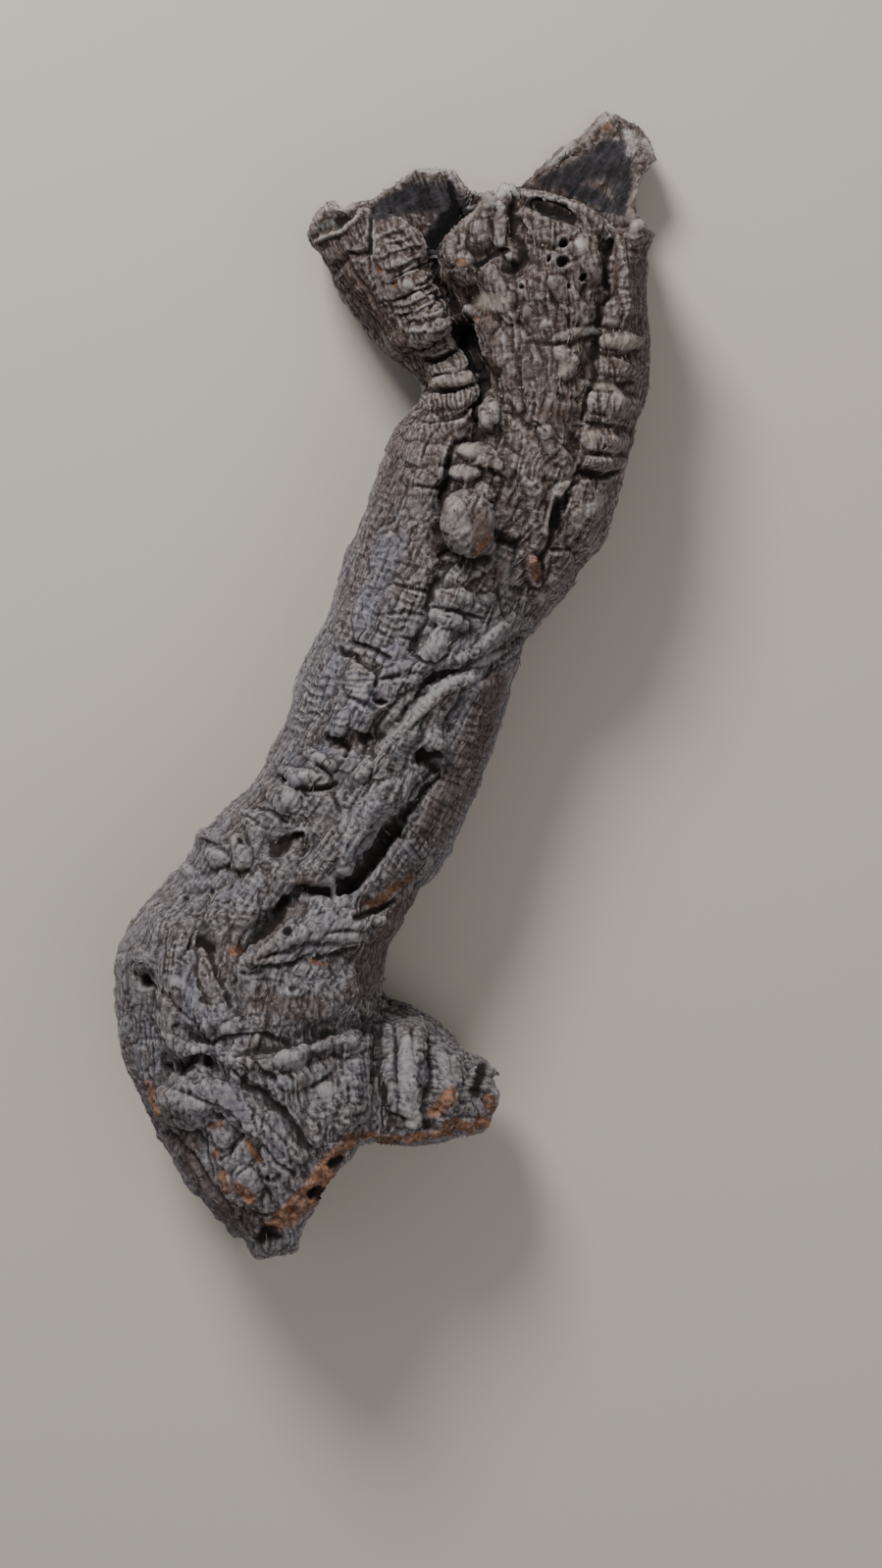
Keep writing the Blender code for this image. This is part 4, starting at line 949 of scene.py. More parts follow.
STROKES = {
    "orange": strokes_in("""
280 1246 8, 296 1240 16, 307 1228 16, 319 1214 16, 330 1200 15, 337 1186 13, 348 1173 10, 363 1162 7; 455 1149 8,
467 1147 8; 472 1149 8, 484 1150 9, 496 1144 7; 430 1159 5, 445 1159 7, 460 1157 5; 416 1164 6, 430 1164 5;
443 1134 8, 452 1122 10, 462 1112 7; 372 1158 6, 392 1163 6, 404 1164 6; 498 1120 6, 503 1130 6; 380 922 5,
392 915 5, 402 905 5, 412 899 4, 422 894 3; 385 275 5; 402 290 5; 486 560 7, 495 550 7; 544 572 7, 549 588 8;
617 128 7; 148 1106 6, 153 1125 6, 160 1136 5; 216 1147 6, 225 1146 5; 218 1177 6; 224 1196 6, 229 1212 7;
242 1210 9, 254 1222 10; 234 970 6, 243 966 5; 318 979 4, 330 983 4; 252 1165 4, 262 1183 4; 483 324 3; 266 1252 5,
284 1250 6; 470 268 6"""),
    # brown: the bark's own brown, and painted shade under ledges and down the stem's right side
    "brown": strokes_in("""
490 526 9, 488 552 11; 356 286 10, 378 310 12, 398 336 12, 414 357 9; 452 288 9, 474 297 13, 490 310 9; 492 358 9,
500 376 9, 494 388 7; 627 272 6, 627 302 6; 590 350 6, 602 344 6; 590 384 6, 599 374 7; 582 408 9; 556 422 13,
586 422 11; 636 393 8; 630 370 9; 556 490 9, 572 493 9; 508 586 9; 505 690 14, 488 745 22, 468 795 24, 440 845 24;
340 757 8, 358 756 9, 374 753 7; 288 862 12; 303 902 9, 326 902 8; 308 924 11; 244 888 11; 424 925 22, 406 955 22,
378 985 24, 366 1010 20; 268 1020 15, 300 1030 18, 325 1026 15; 176 1165 9, 198 1165 9; 190 1182 14, 208 1205 14,
230 1234 13, 250 1252 11; 552 186 10, 576 184 14; 632 231 8; 350 264 10, 356 274 8; 292 928 9, 272 950 10,
254 964 8; 425 776 6, 440 779 8; 410 836 5, 388 866 9, 356 900 9; 496 322 9, 504 350 8"""),
    "pale": strokes_in("""
428 172 4, 446 173 6, 463 176 4; 455 181 2, 478 194 3, 491 197 3; 559 166 4, 580 151 5, 600 136 5, 612 121 5,
625 113 5; 655 140 4, 664 148 5, 669 159 4; 636 134 6, 646 146 8, 640 152 6; 626 140 3; 655 178 5, 648 200 6,
642 220 6; 508 195 6, 524 194 5; 475 223 2, 484 214 3, 492 207 3; 322 243 3, 340 237 3, 358 225 3, 366 214 3;
320 226 3, 330 212 3, 344 211 3, 362 209 3; 379 224 3, 379 245 4, 378 262 3; 421 349 6; 440 391 5, 460 390 6,
482 386 5; 488 306 9, 512 309 11; 534 314 8; 554 330 6; 574 342 4, 606 335 4; 574 358 7, 580 368 8, 574 378 6;
648 229 8; 622 348 8, 646 350 9; 606 392 5, 624 392 6; 630 408 10; 639 451 4; 602 446 11; 466 456 6, 488 464 7,
506 473 6; 464 481 7, 483 480 6; 493 496 6; 466 518 9, 474 536 9; 584 478 3, 576 494 4, 567 508 4, 561 524 4,
558 544 4; 588 530 9, 612 508 10; 517 578 4, 517 594 4; 554 611 6; 526 659 4, 498 674 5, 470 689 6, 448 701 6,
428 717 6, 412 735 5, 396 751 4; 457 720 4; 448 650 8, 432 662 7; 360 690 8, 368 706 9; 296 815 10; 411 838 4;
351 827 4, 349 844 5; 348 887 6, 357 890 5; 340 905 3, 344 920 4; 440 878 4; 362 955 7; 384 934 6; 190 888 7,
195 896 5; 232 1048 9; 176 1000 7, 186 1004 5; 290 1076 11, 304 1086 10; 334 1112 12; 416 1060 9, 418 1100 12,
420 1142 10; 455 1080 11, 460 1102 11; 506 1110 5, 508 1128 4; 594 250 8; 427 792 3"""),
    "cool": strokes_in("""
398 540 26, 380 620 28, 350 700 28, 310 770 26; 473 609 12; 314 774 12, 306 794 14; 360 870 12, 395 885 18,
425 880 16; 142 1040 18, 146 1085 20; 400 1060 16, 420 1110 22, 455 1085 16; 400 640 24, 366 720 20; 180 970 22,
190 1030 24; 640 140 10; 250 1120 26, 300 1100 24"""),
    "white": strokes_in("""
428 170 6, 446 171 9, 464 174 7; 508 196 6, 524 194 6; 636 132 6, 647 144 8, 640 152 6; 612 120 6, 625 113 8;
560 166 4, 584 148 5; 656 141 5, 668 152 5; 456 181 3, 490 196 3; 554 330 5; 602 517 7; 411 838 3; 474 610 6;
316 774 5; 312 790 6; 424 1108 8, 426 1096 5; 380 232 3, 379 252 3; 332 212 3, 352 210 3; 592 250 6; 598 337 4,
606 335 3; 324 232 4, 336 226 4; 404 180 4, 416 174 5; 660 178 4, 652 200 4; 474 216 3, 484 209 4; 505 206 5,
514 214 5; 572 492 3, 564 508 3"""),
    # hollow: where the hollow's dark wall shows, which is partly painted shade
    "hollow": strokes_in("""
556 185 10, 580 180 17, 604 168 20, 622 156 22, 632 186 18, 632 214 9; 584 192 11, 606 199 12, 620 210 10;
380 222 10, 398 210 18, 424 200 22, 450 204 24, 468 210 16; 446 232 12, 442 252 6; 340 227 8"""),
    # dark strokes: painted shade in slits, pits and under overhangs
    "dark": strokes_in("""
352 222 5, 340 226 6; 508 545 7, 524 555 10; 567 508 5, 567 540 6; 488 425 9; 538 207 7, 556 212 9, 574 218 8,
584 223 6; 523 200 4; 302 852 6, 308 853 5; 343 899 5, 356 900 6; 246 861 5; 215 908 5; 188 915 5; 290 918 7,
284 930 8; 293 948 7; 184 1090 7, 196 1088 6; 211 1085 5; 146 1000 6; 340 1188 9, 348 1184 7; 318 1220 7,
330 1215 7; 264 1266 8, 276 1256 8, 282 1262 7; 490 1090 9, 486 1112 8; 465 1152 3; 273 1203 5; 192 1113 4;
362 938 5, 378 929 5, 398 920 5; 206 963 7, 214 966 6; 484 268 5, 500 261 5, 518 256 5; 524 268 6; 376 243 4,
375 258 5; 433 365 4, 446 367 5, 462 360 4; 366 410 1; 402 775 4; 389 715 5; 310 908 5, 334 908 5; 575 484 3;
430 771 6, 448 770 6"""),
}
STROKE_SOFT = 0.55          # share of a stroke's radius over which it fades out


def stroked(strokes):
    """How strongly each point is covered by a set of strokes."""
    cover = np.zeros(len(points))
    for stroke in strokes:
        spots = near_stroke(drawn, stroke)
        reach, _, _ = along_stroke(drawn[spots], stroke)
        cover[spots] = np.maximum(cover[spots], step_between(1.0, 1 - STROKE_SOFT, reach))
    return cover


print({tint: len(strokes) for tint, strokes in STROKES.items()})

# %% Raise the bark
height = bark_height * (1 - 0.75 * inside) * (1 - 0.25 * front) * (1.5 - 0.5 * bolder) + relief * MM * front
height += BREAK_ROUGHNESS * MM * stroked(STROKES["orange"]) * rough_noise(points / RUBBLE, 96, 3)
lowest, highest = (np.array(corner) for corner in CAD_BOX)
points += normals * height[:, None]
points = np.clip(points, lowest, highest)
set_points(whole.data, points)
print("bark raised on", len(points), "points")

# %% [markdown]
# ## Masks for the colours
# Dust and painted shade darken the cracks, and crests are worn pale. Both come from the shape itself: a
# point that lies below the mean of its surroundings is in a crack, one above it is on a crest. The
# masks are kept as attributes of the points, which the materials read.

# %% Colour masks
FINE_ROUNDS = 5             # rounds of softening that level cracks, and those that level strands
BROAD_ROUNDS = 40
near = Neighbours(whole.data)
fine_mean = near.softened(points, FINE_ROUNDS)
broad_mean = near.softened(points, BROAD_ROUNDS)
normals = normals_of(whole.data)
fine_rise = np.einsum("ij,ij->i", points - fine_mean, normals) / MM
broad_rise = np.einsum("ij,ij->i", points - broad_mean, normals) / MM
WARM_STARTS = 400           # the bark turns from grey to brown between these rows of the picture
WARM_ENDS = 700
WARM_LEAN = 0.35            # the turn runs aslant, from its middle column
WARM_COLUMN = 480
WARM_PATCHES = 45
turn_row = pixels[:, 1] - WARM_LEAN * (pixels[:, 0] - WARM_COLUMN) + WARM_PATCHES * swell
facing = step_between(-0.55, 0.05, normals[:, 2])
masks = {
    "across": across,
    "along": along,
    # crest: worn pale above it; dust and painted shade below it
    "crest": np.clip(0.5 + 0.9 * fine_rise, 0, 1),
    "rise": np.clip(0.5 + 0.28 * broad_rise, 0, 1),
    "inside": inside,
    "tone": 0.6 * plate + 0.4 * small_plate,
    # cut: painted shade along the grooves
    "cut": step_between(0.7, 2.6, grooves) * front,
    "warm": step_between(WARM_ENDS, WARM_STARTS, turn_row),
}
masks.update((tint, stroked(strokes) * facing) for tint, strokes in STROKES.items())
for name, values in masks.items():
    keep(whole.data, name, values)
print("rise", broad_rise.min().round(2), broad_rise.max().round(2))

# %% [markdown]
# ## Part the limbs again
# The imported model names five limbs, so the finished skin is cut back into five, along the same fork
# lines and without the gap. Each ground is a solid whose walls run towards the eye.

# %% Cut along the forks
GROUND_LOW = -0.03          # the grounds' floor and top, in metres, past the branch's
GROUND_HIGH = 0.18
# no limb may have more than 200,000, with its crumbs
WHOLE_TRIANGLES = 420000    # triangles that the whole skin is cut down to before it is parted into limbs


def ground_block(name, outline):
    solid = bmesh.new()
    floor = solid.faces.new([solid.verts.new(place(px, py, GROUND_LOW)) for px, py in outline])
    risen = bmesh.ops.extrude_face_region(solid, geom=[floor])["geom"]
    corners = [item for item in risen if isinstance(item, bmesh.types.BMVert)]
    shown = pixels_of(np.array([corner.co[:] for corner in corners]))
    for corner, pixel in zip(corners, shown):
        corner.co = place(float(pixel[0]), float(pixel[1]), GROUND_HIGH)
    bmesh.ops.triangulate(solid, faces=solid.faces)
    bmesh.ops.recalc_face_normals(solid, faces=solid.faces)
    mesh = bpy.data.meshes.new(name)
    solid.to_mesh(mesh)
    solid.free()
    return object_of(name, mesh)


def mend_masks(mesh):
    """The corners that the cut made take their masks from the nearest old corner."""
    made = sorted({corner for face in mesh.polygons if mesh.attributes["skin"].data[face.index].value < 0.5
                   for corner in face.vertices})
    nearest = [old_corners.find(mesh.vertices[corner].co)[1] for corner in made]
    for name, values in old_masks.items():
        data = mesh.attributes[name].data
        for corner, old in zip(made, nearest):
            data[corner].value = values[old]


def sharpen_cuts(mesh):
    """Edges between the skin and the cut faces are sharp, so that the shading doesn't bend round them."""
    own = mesh.attributes["skin"].data
    faces_at = {}
    for face in mesh.polygons:
        for key in face.edge_keys:
            faces_at.setdefault(key, set()).add(own[face.index].value > 0.5)
    sharp = [len(faces_at[edge.key]) > 1 for edge in mesh.edges]
    mesh.attributes.new("sharp_edge", 'BOOLEAN', 'EDGE').data.foreach_set("value", sharp)
    mesh.attributes.remove(mesh.attributes["skin"])
    return sum(sharp)


def triangles_in(mesh):
    return len(mesh.loops) - 2 * len(mesh.polygons)


whole.data = with_modifier(whole, 'DECIMATE', ratio=WHOLE_TRIANGLES / triangles_in(whole.data))
keep(whole.data, "skin", np.ones(len(whole.data.polygons)), 'FACE')
old_corners = KDTree(len(whole.data.vertices))
for corner in whole.data.vertices:
    old_corners.insert(corner.co, corner.index)
old_corners.balance()
old_masks = {name: kept(whole.data, name).tolist() for name in masks}
limbs = {}
for name, ground in grounds().items():
    block = ground_block(name + "_ground", ground)
    mesh = with_modifier(whole, 'BOOLEAN', operation='INTERSECT', solver='MANIFOLD', object=block)
    bpy.data.objects.remove(block)
    limbs[name] = object_of(name + "_bark", mesh)
    mend_masks(mesh)
    print(name, triangles_in(mesh), "triangles with", sharpen_cuts(mesh), "cut edges")
bpy.data.objects.remove(whole)

# %% [markdown]
# ## Writing a material as sums
# The finish of bark is a pile of masks: is this point in a crack, on a crest, on the broken edge?
# In a node tree that is a tangle of Math nodes. One small class wraps a socket so that masks can
# be added and multiplied as plain Python, and one method adds any other node.

# %% A socket that can be added and multiplied
class Mask:
    """A value socket of a material, with Python's operators."""

    def __init__(self, tree, socket):
        self.tree = tree
        self.socket = socket

    def math(self, operation, *values):
        return add_node(self.tree, "ShaderNodeMath", {"operation": operation}, values)

    def __add__(self, other):
        return self.math('ADD', self, other)

    __radd__ = __add__

    def __rsub__(self, other):
        return self.math('SUBTRACT', other, self)

    def __mul__(self, other):
        return self.math('MULTIPLY', self, other)

    __rmul__ = __mul__

    def between(self, low, high):
        """0 below low, 1 above high, smooth between."""
        settings = {"interpolation_type": 'SMOOTHSTEP'}
        limits = {"Value": self, "From Min": low, "From Max": high}
        return add_node(self.tree, "ShaderNodeMapRange", settings, limits)


def add_node(tree, kind, settings=None, inputs=(), output=0):
    """Node with its settings made first and its sockets given values or links; returns an output."""
    node = tree.nodes.new(kind)
    for key, value in (settings or {}).items():
        setattr(node, key, value)
    for key, value in (inputs.items() if isinstance(inputs, dict) else enumerate(inputs)):
        socket = node.inputs[key]
        if isinstance(value, Mask):
            tree.links.new(value.socket, socket)
        else:
            socket.default_value = value
    return Mask(tree, node.outputs[output])


def linear(red, green, blue):
    """Colour for a node from the 0 to 255 numbers of a picture."""
    return tuple((v / 255 / 12.92) if v < 10.3 else ((v / 255 + 0.055) / 1.055) ** 2.4
                 for v in (red, green, blue)) + (1.0,)


class Finish:
    """A material being built: its tree, and the patterns that bark needs."""

    def __init__(self, name):
        self.material = bpy.data.materials.new(name)
        self.material.use_nodes = True
        self.tree = self.material.node_tree
        self.shader = self.tree.nodes["Principled BSDF"]
        self.place = add_node(self.tree, "ShaderNodeTexCoord", output="Object")

    def kept(self, name):
        """Mask that was kept on the bark's points."""
        return add_node(self.tree, "ShaderNodeAttribute", {"attribute_name": name}, output="Fac")

    def noise(self, scale, detail=4.0, roughness=0.6, where=None):
        inputs = {"Vector": where or self.place, "Scale": scale, "Detail": detail, "Roughness": roughness}
        return add_node(self.tree, "ShaderNodeTexNoise", {}, inputs, output="Fac")

    def grain(self, across, along):
        """Place measured across and along the grain, each squeezed or stretched."""
        height = add_node(self.tree, "ShaderNodeSeparateXYZ", {}, [self.place], output=2)
        return add_node(self.tree, "ShaderNodeCombineXYZ", {}, [
            self.kept("across") * across, self.kept("along") * along, height * across])

    def mix(self, mask, below, above):
        """Colour mixed from two by a mask."""
        return add_node(self.tree, "ShaderNodeMix", {"data_type": 'RGBA'}, {0: mask, 6: below, 7: above}, output=2)

    def bump(self, height, distance, strength=1.0, over=None):
        """Normal that a height bends, on top of one that is bent already."""
        inputs = {"Strength": strength, "Distance": distance, "Height": height}
        if over:
            inputs["Normal"] = over
        return add_node(self.tree, "ShaderNodeBump", {}, inputs)

    def put(self, socket, value):
        self.tree.links.new(value.socket, self.shader.inputs[socket])


print("linear grey of 128:", [round(v, 3) for v in linear(128, 128, 128)])

# %% [markdown]
# ## The bark's colour
# Weathered cork is a cool grey-brown. Crests are worn pale, cracks hold dark dust and painted shade,
# and brown shows between, with painted shade under ledges. Broken edges show the cork's inside,
# which is orange-brown, and the hollow's wall is dark, with painted shade that makes it nearly
# black-brown further in. All of it is dry, so the surface has almost no gloss.

# %% Colours of bark
# Some of these are painted shade: the shade colours, the darkest crack colour and the deep wall colours, and in
# part the dust colours and the brown of the brown strokes.
COLOURS = {name: linear(*parts) for name, parts in {
    "grey": (127, 124, 132), "warm grey": (110, 96, 91), "cool grey": (118, 118, 131),
    "brown": (94, 85, 84), "warm brown": (84, 67, 60), "brown_and_painted_shade": (94, 74, 64),
    "worn": (190, 183, 183), "shade": (60, 54, 55), "warm shade": (50, 40, 37),
    "dust_and_shade": (46, 40, 40), "warm_dust_and_shade": (34, 27, 25), "broken cork": (84, 56, 42), "fresh cork": (200, 146, 112),
    "pale": (184, 180, 182), "warm pale": (186, 172, 162), "wall crack": (22, 20, 23), "wall": (86, 81, 88),
    "deep_wall_crack_in_painted_shade": (13, 12, 15), "deep_wall_in_painted_shade": (50, 47, 54), "pale wall": (176, 172, 174),
    "white": (206, 204, 204), "painted_crack_shade": (34, 28, 27), "crumb": (70, 56, 48), "pale crumb": (150, 138, 130),
    "floor": (196, 188, 178)}.items()}
print(len(COLOURS), "colours")

# %% Bark material
BARK_ROUGHNESS = 0.93
BARK_GLOSS = 0.25           # half of what a surface has unless it is told


def bark_finish(name):
    """Bark from its masks, from the broad colours down to dust and painted shade, worn crests, breaks and the
    hollow.
    """
    finish = Finish(name)
    rise, crest, tone, warm = (finish.kept(key) for key in ("rise", "crest", "tone", "warm"))
    broad = finish.noise(30, 3)
    blotch = finish.noise(95, 4, 0.65)
    fine = finish.noise(520, 6, 0.75)
    grit = finish.noise(1400, 3, 0.8)
    streak = finish.noise(330, 5, 0.75, where=finish.grain(1.0, 0.13))
    hoop = finish.noise(420, 4, 0.7, where=finish.grain(0.2, 1.0))
    grey = finish.mix(warm, COLOURS["grey"], COLOURS["warm grey"])
    grey = finish.mix(finish.kept("cool") * 0.8, grey, COLOURS["cool grey"])
    brown = finish.mix(warm, COLOURS["brown"], COLOURS["warm brown"])
    colour = finish.mix((blotch * 0.7 + tone * 0.4 + broad * 0.3).between(0.45, 0.92), brown, grey)
    # Brown strokes: the bark's own brown, with painted shade under ledges and down the stem's right side
    colour = finish.mix(finish.kept("brown") * (blotch * 0.9 + 0.2), colour, COLOURS["brown_and_painted_shade"])
    worn = (crest * 0.7 + fine * 0.4 + streak * 0.5 + hoop * 0.4 + grit * 0.5).between(1.15, 1.75)
    colour = finish.mix(worn * (1 - 0.6 * finish.kept("brown")), colour, COLOURS["worn"])
    shade = (rise + 0.45 * fine + 0.2 * blotch).between(0.4, 0.95)
    colour = finish.mix((1 - shade) * 0.66, colour, finish.mix(warm, COLOURS["shade"], COLOURS["warm shade"]))
    # Dust and painted shade darken the cracks, where a point lies below its neighbours
    dust_and_shade = (crest * 0.9 + 0.35 * streak + 0.45 * hoop + 0.3 * grit).between(0.66, 1.08)
    colour = finish.mix((1 - dust_and_shade) * 0.66, colour, finish.mix(warm, COLOURS["dust_and_shade"], COLOURS["warm_dust_and_shade"]))
    fresh = (fine * 0.5 + blotch * 0.5 + grit * 0.3).between(0.5, 0.85)
    fresh = finish.mix(fresh, COLOURS["broken cork"], COLOURS["fresh cork"])
    colour = finish.mix(finish.kept("orange") * (0.55 + 0.6 * blotch), colour, fresh)
    pale = finish.kept("pale") * (blotch + fine * 0.5).between(0.35, 0.85)
    colour = finish.mix(pale * 0.6, colour, finish.mix(warm, COLOURS["pale"], COLOURS["warm pale"]))
    # The hollow's wall has its own dark colour, with painted shade that deepens where more rays were blocked
    hollow = finish.kept("inside")
    wall = finish.mix((streak * 0.6 + blotch * 0.5 + grit * 0.3).between(0.5, 1.0),
                      COLOURS["wall crack"], COLOURS["wall"])
    wall = finish.mix(hollow.between(0.3, 0.8), wall, finish.mix(
        (streak * 0.6 + blotch * 0.5).between(0.5, 0.9), COLOURS["deep_wall_crack_in_painted_shade"], COLOURS["deep_wall_in_painted_shade"]))
    hollow = (hollow.between(0.25, 0.7) + finish.kept("hollow") * 0.85).between(0.0, 1.0)
    colour = finish.mix(hollow * (1 - 0.8 * finish.kept("orange")), colour, wall)
    colour = finish.mix(finish.kept("hollow") * pale, colour, COLOURS["pale wall"])
    white = finish.kept("white") * (fine * 0.6 + grit * 0.5 + blotch * 0.2).between(0.5, 0.78)
    colour = finish.mix(white * 0.9, colour, COLOURS["white"])
    # Painted shade: the dark strokes and the grooves turn a deep brown-black
    deep = finish.kept("dark") * 0.9 + finish.kept("cut") * (0.42 + 0.3 * fine)
    colour = finish.mix(deep.between(0.1, 1.0), colour, COLOURS["painted_crack_shade"])
    finish.put("Base Color", colour)
    normal = finish.bump(streak, 0.001, 0.9)
    normal = finish.bump(hoop, 0.0012, 0.9, over=normal)
    normal = finish.bump(fine, 0.0011, 1.0, over=normal)
    normal = finish.bump(grit, 0.0005, 0.9, over=normal)
    finish.put("Normal", normal)
    finish.shader.inputs["Roughness"].default_value = BARK_ROUGHNESS
    finish.shader.inputs["Specular IOR Level"].default_value = BARK_GLOSS
    return finish.material


GREY_BARK = bark_finish("grey_cork")
BROWN_BARK = bark_finish("brown_cork")

# %% [markdown]
# ## Crumbs and slivers
# Weathered cork sheds. Crumbs sit in its creases, and fine slivers of fibre stand off along the
# grain. Both are scattered by one small tree of geometry nodes, which is told how many, how large
# and which way they lie. They follow the surface, so writing them out one by one would be folly.

# %% Scatter with geometry nodes
CHIP_TILT = (0.3, 0.3, 0.6)     # most that a chip is turned, in radians
CHIP_SIZES = (0.4, 1.3)         # least and most of the size that it is told


def scatter_tree():
    """Node tree that strews flat chips over the upward faces of the outside."""
    tree = bpy.data.node_groups.new("strew_chips", 'GeometryNodeTree')
    face = tree.interface
    face.new_socket("Bark", in_out='INPUT', socket_type='NodeSocketGeometry')
    inputs = {"Per square metre": 'Float', "Seed": 'Int', "Chip": 'Vector', "Grain": 'Vector', "Finish": 'Material'}
    for name, kind in inputs.items():
        face.new_socket(name, in_out='INPUT', socket_type='NodeSocket' + kind)
    face.new_socket("Bark", in_out='OUTPUT', socket_type='NodeSocketGeometry')
    given = tree.nodes.new("NodeGroupInput")
    bark, count, seed, chip, way, cover = (Mask(tree, given.outputs[k]) for k in range(6))
    upward = add_node(tree, "ShaderNodeSeparateXYZ", {}, [add_node(tree, "GeometryNodeInputNormal")], output=2)
    spread = count * upward.between(0.0, 0.3)
    for bare in ("inside", "hollow", "dark", "cut"):
        mask = add_node(tree, "GeometryNodeInputNamedAttribute", {"data_type": 'FLOAT'}, {"Name": bare})
        spread = spread * (1 - mask.between(0.1, 0.4))
    strewn = add_node(tree, "GeometryNodeDistributePointsOnFaces", {},
                      {"Mesh": bark, "Density": spread, "Seed": seed})
    turned = Mask(tree, strewn.socket.node.outputs["Rotation"])
    turned = add_node(tree, "FunctionNodeAlignRotationToVector", {"axis": 'X', "pivot_axis": 'Z'},
                      {"Rotation": turned, "Vector": way})
    tilt = add_node(tree, "FunctionNodeRandomValue", {"data_type": 'FLOAT_VECTOR'},
                    {0: tuple(-most for most in CHIP_TILT), 1: CHIP_TILT, "Seed": seed})
    turned = add_node(tree, "FunctionNodeRotateRotation", {"rotation_space": 'LOCAL'},
                      {"Rotation": turned, "Rotate By": tilt})
    size = add_node(tree, "FunctionNodeRandomValue", {"data_type": 'FLOAT'},
                    {2: CHIP_SIZES[0], 3: CHIP_SIZES[1], "Seed": seed}, output=1)
    size = add_node(tree, "ShaderNodeVectorMath", {"operation": 'SCALE'}, {0: chip, "Scale": size})
    ball = add_node(tree, "GeometryNodeMeshIcoSphere", {}, {"Radius": 1.0, "Subdivisions": 1})
    chips = add_node(tree, "GeometryNodeInstanceOnPoints", {},
                     {"Points": strewn, "Instance": ball, "Rotation": turned, "Scale": size})
    chips = add_node(tree, "GeometryNodeRealizeInstances", {}, [chips])
    chips = add_node(tree, "GeometryNodeSetMaterial", {}, {"Geometry": chips, "Material": cover})
    joined = tree.nodes.new("GeometryNodeJoinGeometry")
    for part in (chips, bark):
        tree.links.new(part.socket, joined.inputs[0])
    tree.links.new(joined.outputs[0], tree.nodes.new("NodeGroupOutput").inputs[0])
    return tree


def strewn_over(limb, tree, values):
    """The limb's mesh with chips strewn over it."""
    modifier = limb.modifiers.new("strew", 'NODES')
    modifier.node_group = tree
    names = {item.name: item.identifier for item in tree.interface.items_tree if item.in_out == 'INPUT'}
    for name, value in values.items():
        modifier[names[name]] = value
    limb.update_tag()
    bpy.context.view_layer.update()
    mesh = bpy.data.meshes.new_from_object(limb.evaluated_get(bpy.context.evaluated_depsgraph_get()))
    limb.modifiers.clear()
    set_points(mesh, np.clip(points_of(mesh), lowest, highest))
    return mesh


CHIP_TREE = scatter_tree()
print("scatter tree:", len(CHIP_TREE.nodes), "nodes")

# %% Crumb finish
CRUMB_ROUGHNESS = 0.95
crumb_finish = Finish("cork_crumb")
speck = crumb_finish.noise(300, 2)
speck = crumb_finish.mix(speck.between(0.35, 0.65), COLOURS["crumb"], COLOURS["pale crumb"])
crumb_finish.put("Base Color", speck)
crumb_finish.shader.inputs["Roughness"].default_value = CRUMB_ROUGHNESS
print("crumbs finished")

# %% Dress the limbs
SLOTS = {part["node"]: part["material_slot"] for part in frame["record"]["subparts"]}
GRAIN_WAYS = {
    "stem": (0.42, 0.9, 0.0), "upper_left_limb": (-0.4, 0.9, 0.0), "upper_right_limb": (0.1, 1.0, 0.0),
    "lower_left_limb": (0.1, 1.0, 0.0), "lower_right_spur": (0.15, 1.0, 0.0)}
CRUMBS = {"Per square metre": 21000.0, "Chip": (0.0007, 0.0006, 0.00035), "Seed": 5}
SLIVERS = {"Per square metre": 13000.0, "Chip": (0.0035, 0.00022, 0.0003), "Seed": 8}

for name, limb in limbs.items():
    limb.data.materials.clear()
    limb.data.materials.append(BROWN_BARK if SLOTS[name] == "brown_cork_bark" else GREY_BARK)
    limb.data.polygons.foreach_set("use_smooth", np.ones(len(limb.data.polygons), dtype=bool))
    for kind in (CRUMBS, SLIVERS):
        values = {**kind, "Grain": GRAIN_WAYS[name], "Finish": crumb_finish.material}
        limb.data = strewn_over(limb, CHIP_TREE, values)
    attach(limb, "root")
    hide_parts(name)
    print(limb.name, triangles_in(limb.data), "triangles", SLOTS[name])

# %% [markdown]
# ## Floor, light and camera
# The branch lies on a plain pale floor. The light is soft and comes from beyond the branch's top,
# so ledges throw short shadows towards its foot. The camera looks straight down from the eye that
# the picture was drawn for.

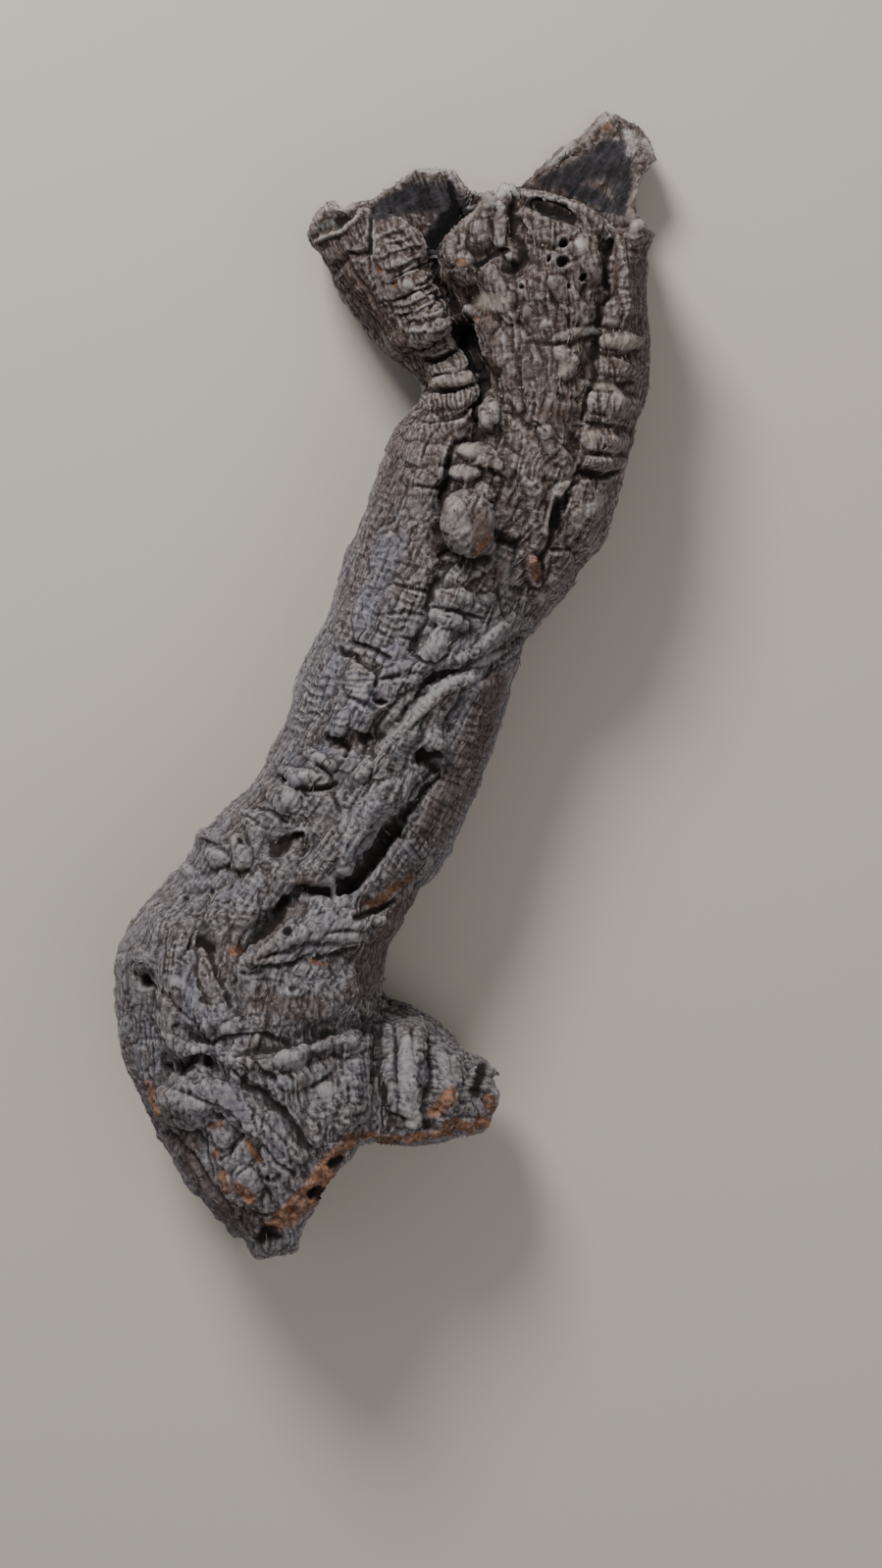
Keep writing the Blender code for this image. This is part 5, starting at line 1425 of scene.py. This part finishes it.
# %% Floor
FLOOR_REACH = 3             # metres each way
FLOOR_DROP = 0.0005         # a hair under the branch
FLOOR_ROUGHNESS = 0.8
floor_mesh = bpy.data.meshes.new("floor")
corners = [(FLOOR_REACH * x, FLOOR_REACH * y, -FLOOR_DROP) for x, y in ((-1, -1), (1, -1), (1, 1), (-1, 1))]
floor_mesh.from_pydata(corners, [], [(0, 1, 2, 3)])
floor = object_of("floor", floor_mesh)
floor_finish = Finish("pale_floor")
floor_finish.shader.inputs["Base Color"].default_value = COLOURS["floor"]
floor_finish.shader.inputs["Roughness"].default_value = FLOOR_ROUGHNESS
floor_mesh.materials.append(floor_finish.material)
print("floor laid")

# %% Light
AIM = (0, 0, 0.05)          # the middle of the branch
ROOM_COLOUR = (0.95, 0.97, 1.0, 1)
ROOM_STRENGTH = 0.3


def soft_light(name, at, size, power, colour):
    """Round lamp that looks at the branch."""
    lamp = bpy.data.lights.new(name, 'AREA')
    lamp.shape = 'DISK'
    lamp.size = size
    lamp.energy = power
    lamp.color = colour
    made = object_of(name, lamp)
    made.location = at
    made.rotation_euler = (Vector(AIM) - Vector(at)).to_track_quat('-Z', 'Y').to_euler()


soft_light("window_light", (-0.55, 1.25, 1.15), 0.6, 31, (1.0, 0.985, 0.96))
soft_light("room_light", (0.8, -0.6, 1.6), 1.4, 7, (1.0, 0.95, 0.9))
world = bpy.data.worlds.new("soft_room")
world.use_nodes = True
background = world.node_tree.nodes["Background"]
background.inputs["Color"].default_value = ROOM_COLOUR
background.inputs["Strength"].default_value = ROOM_STRENGTH
bpy.context.scene.world = world
print("lights set")

# %% Camera
SENSOR = 36                 # mm
lens = bpy.data.cameras.new("camera")
lens.sensor_fit = 'VERTICAL'
lens.sensor_height = SENSOR
lens.lens = SENSOR * (EYE_HEIGHT - TRUE_HEIGHT) / (PICTURE[1] * PIXEL)
lens.clip_start = 0.01
camera = object_of("camera", lens)
camera.location = place(*EYE_PIXEL, z=EYE_HEIGHT)
bpy.context.scene.camera = camera
print("camera at", [round(v, 3) for v in camera.location])
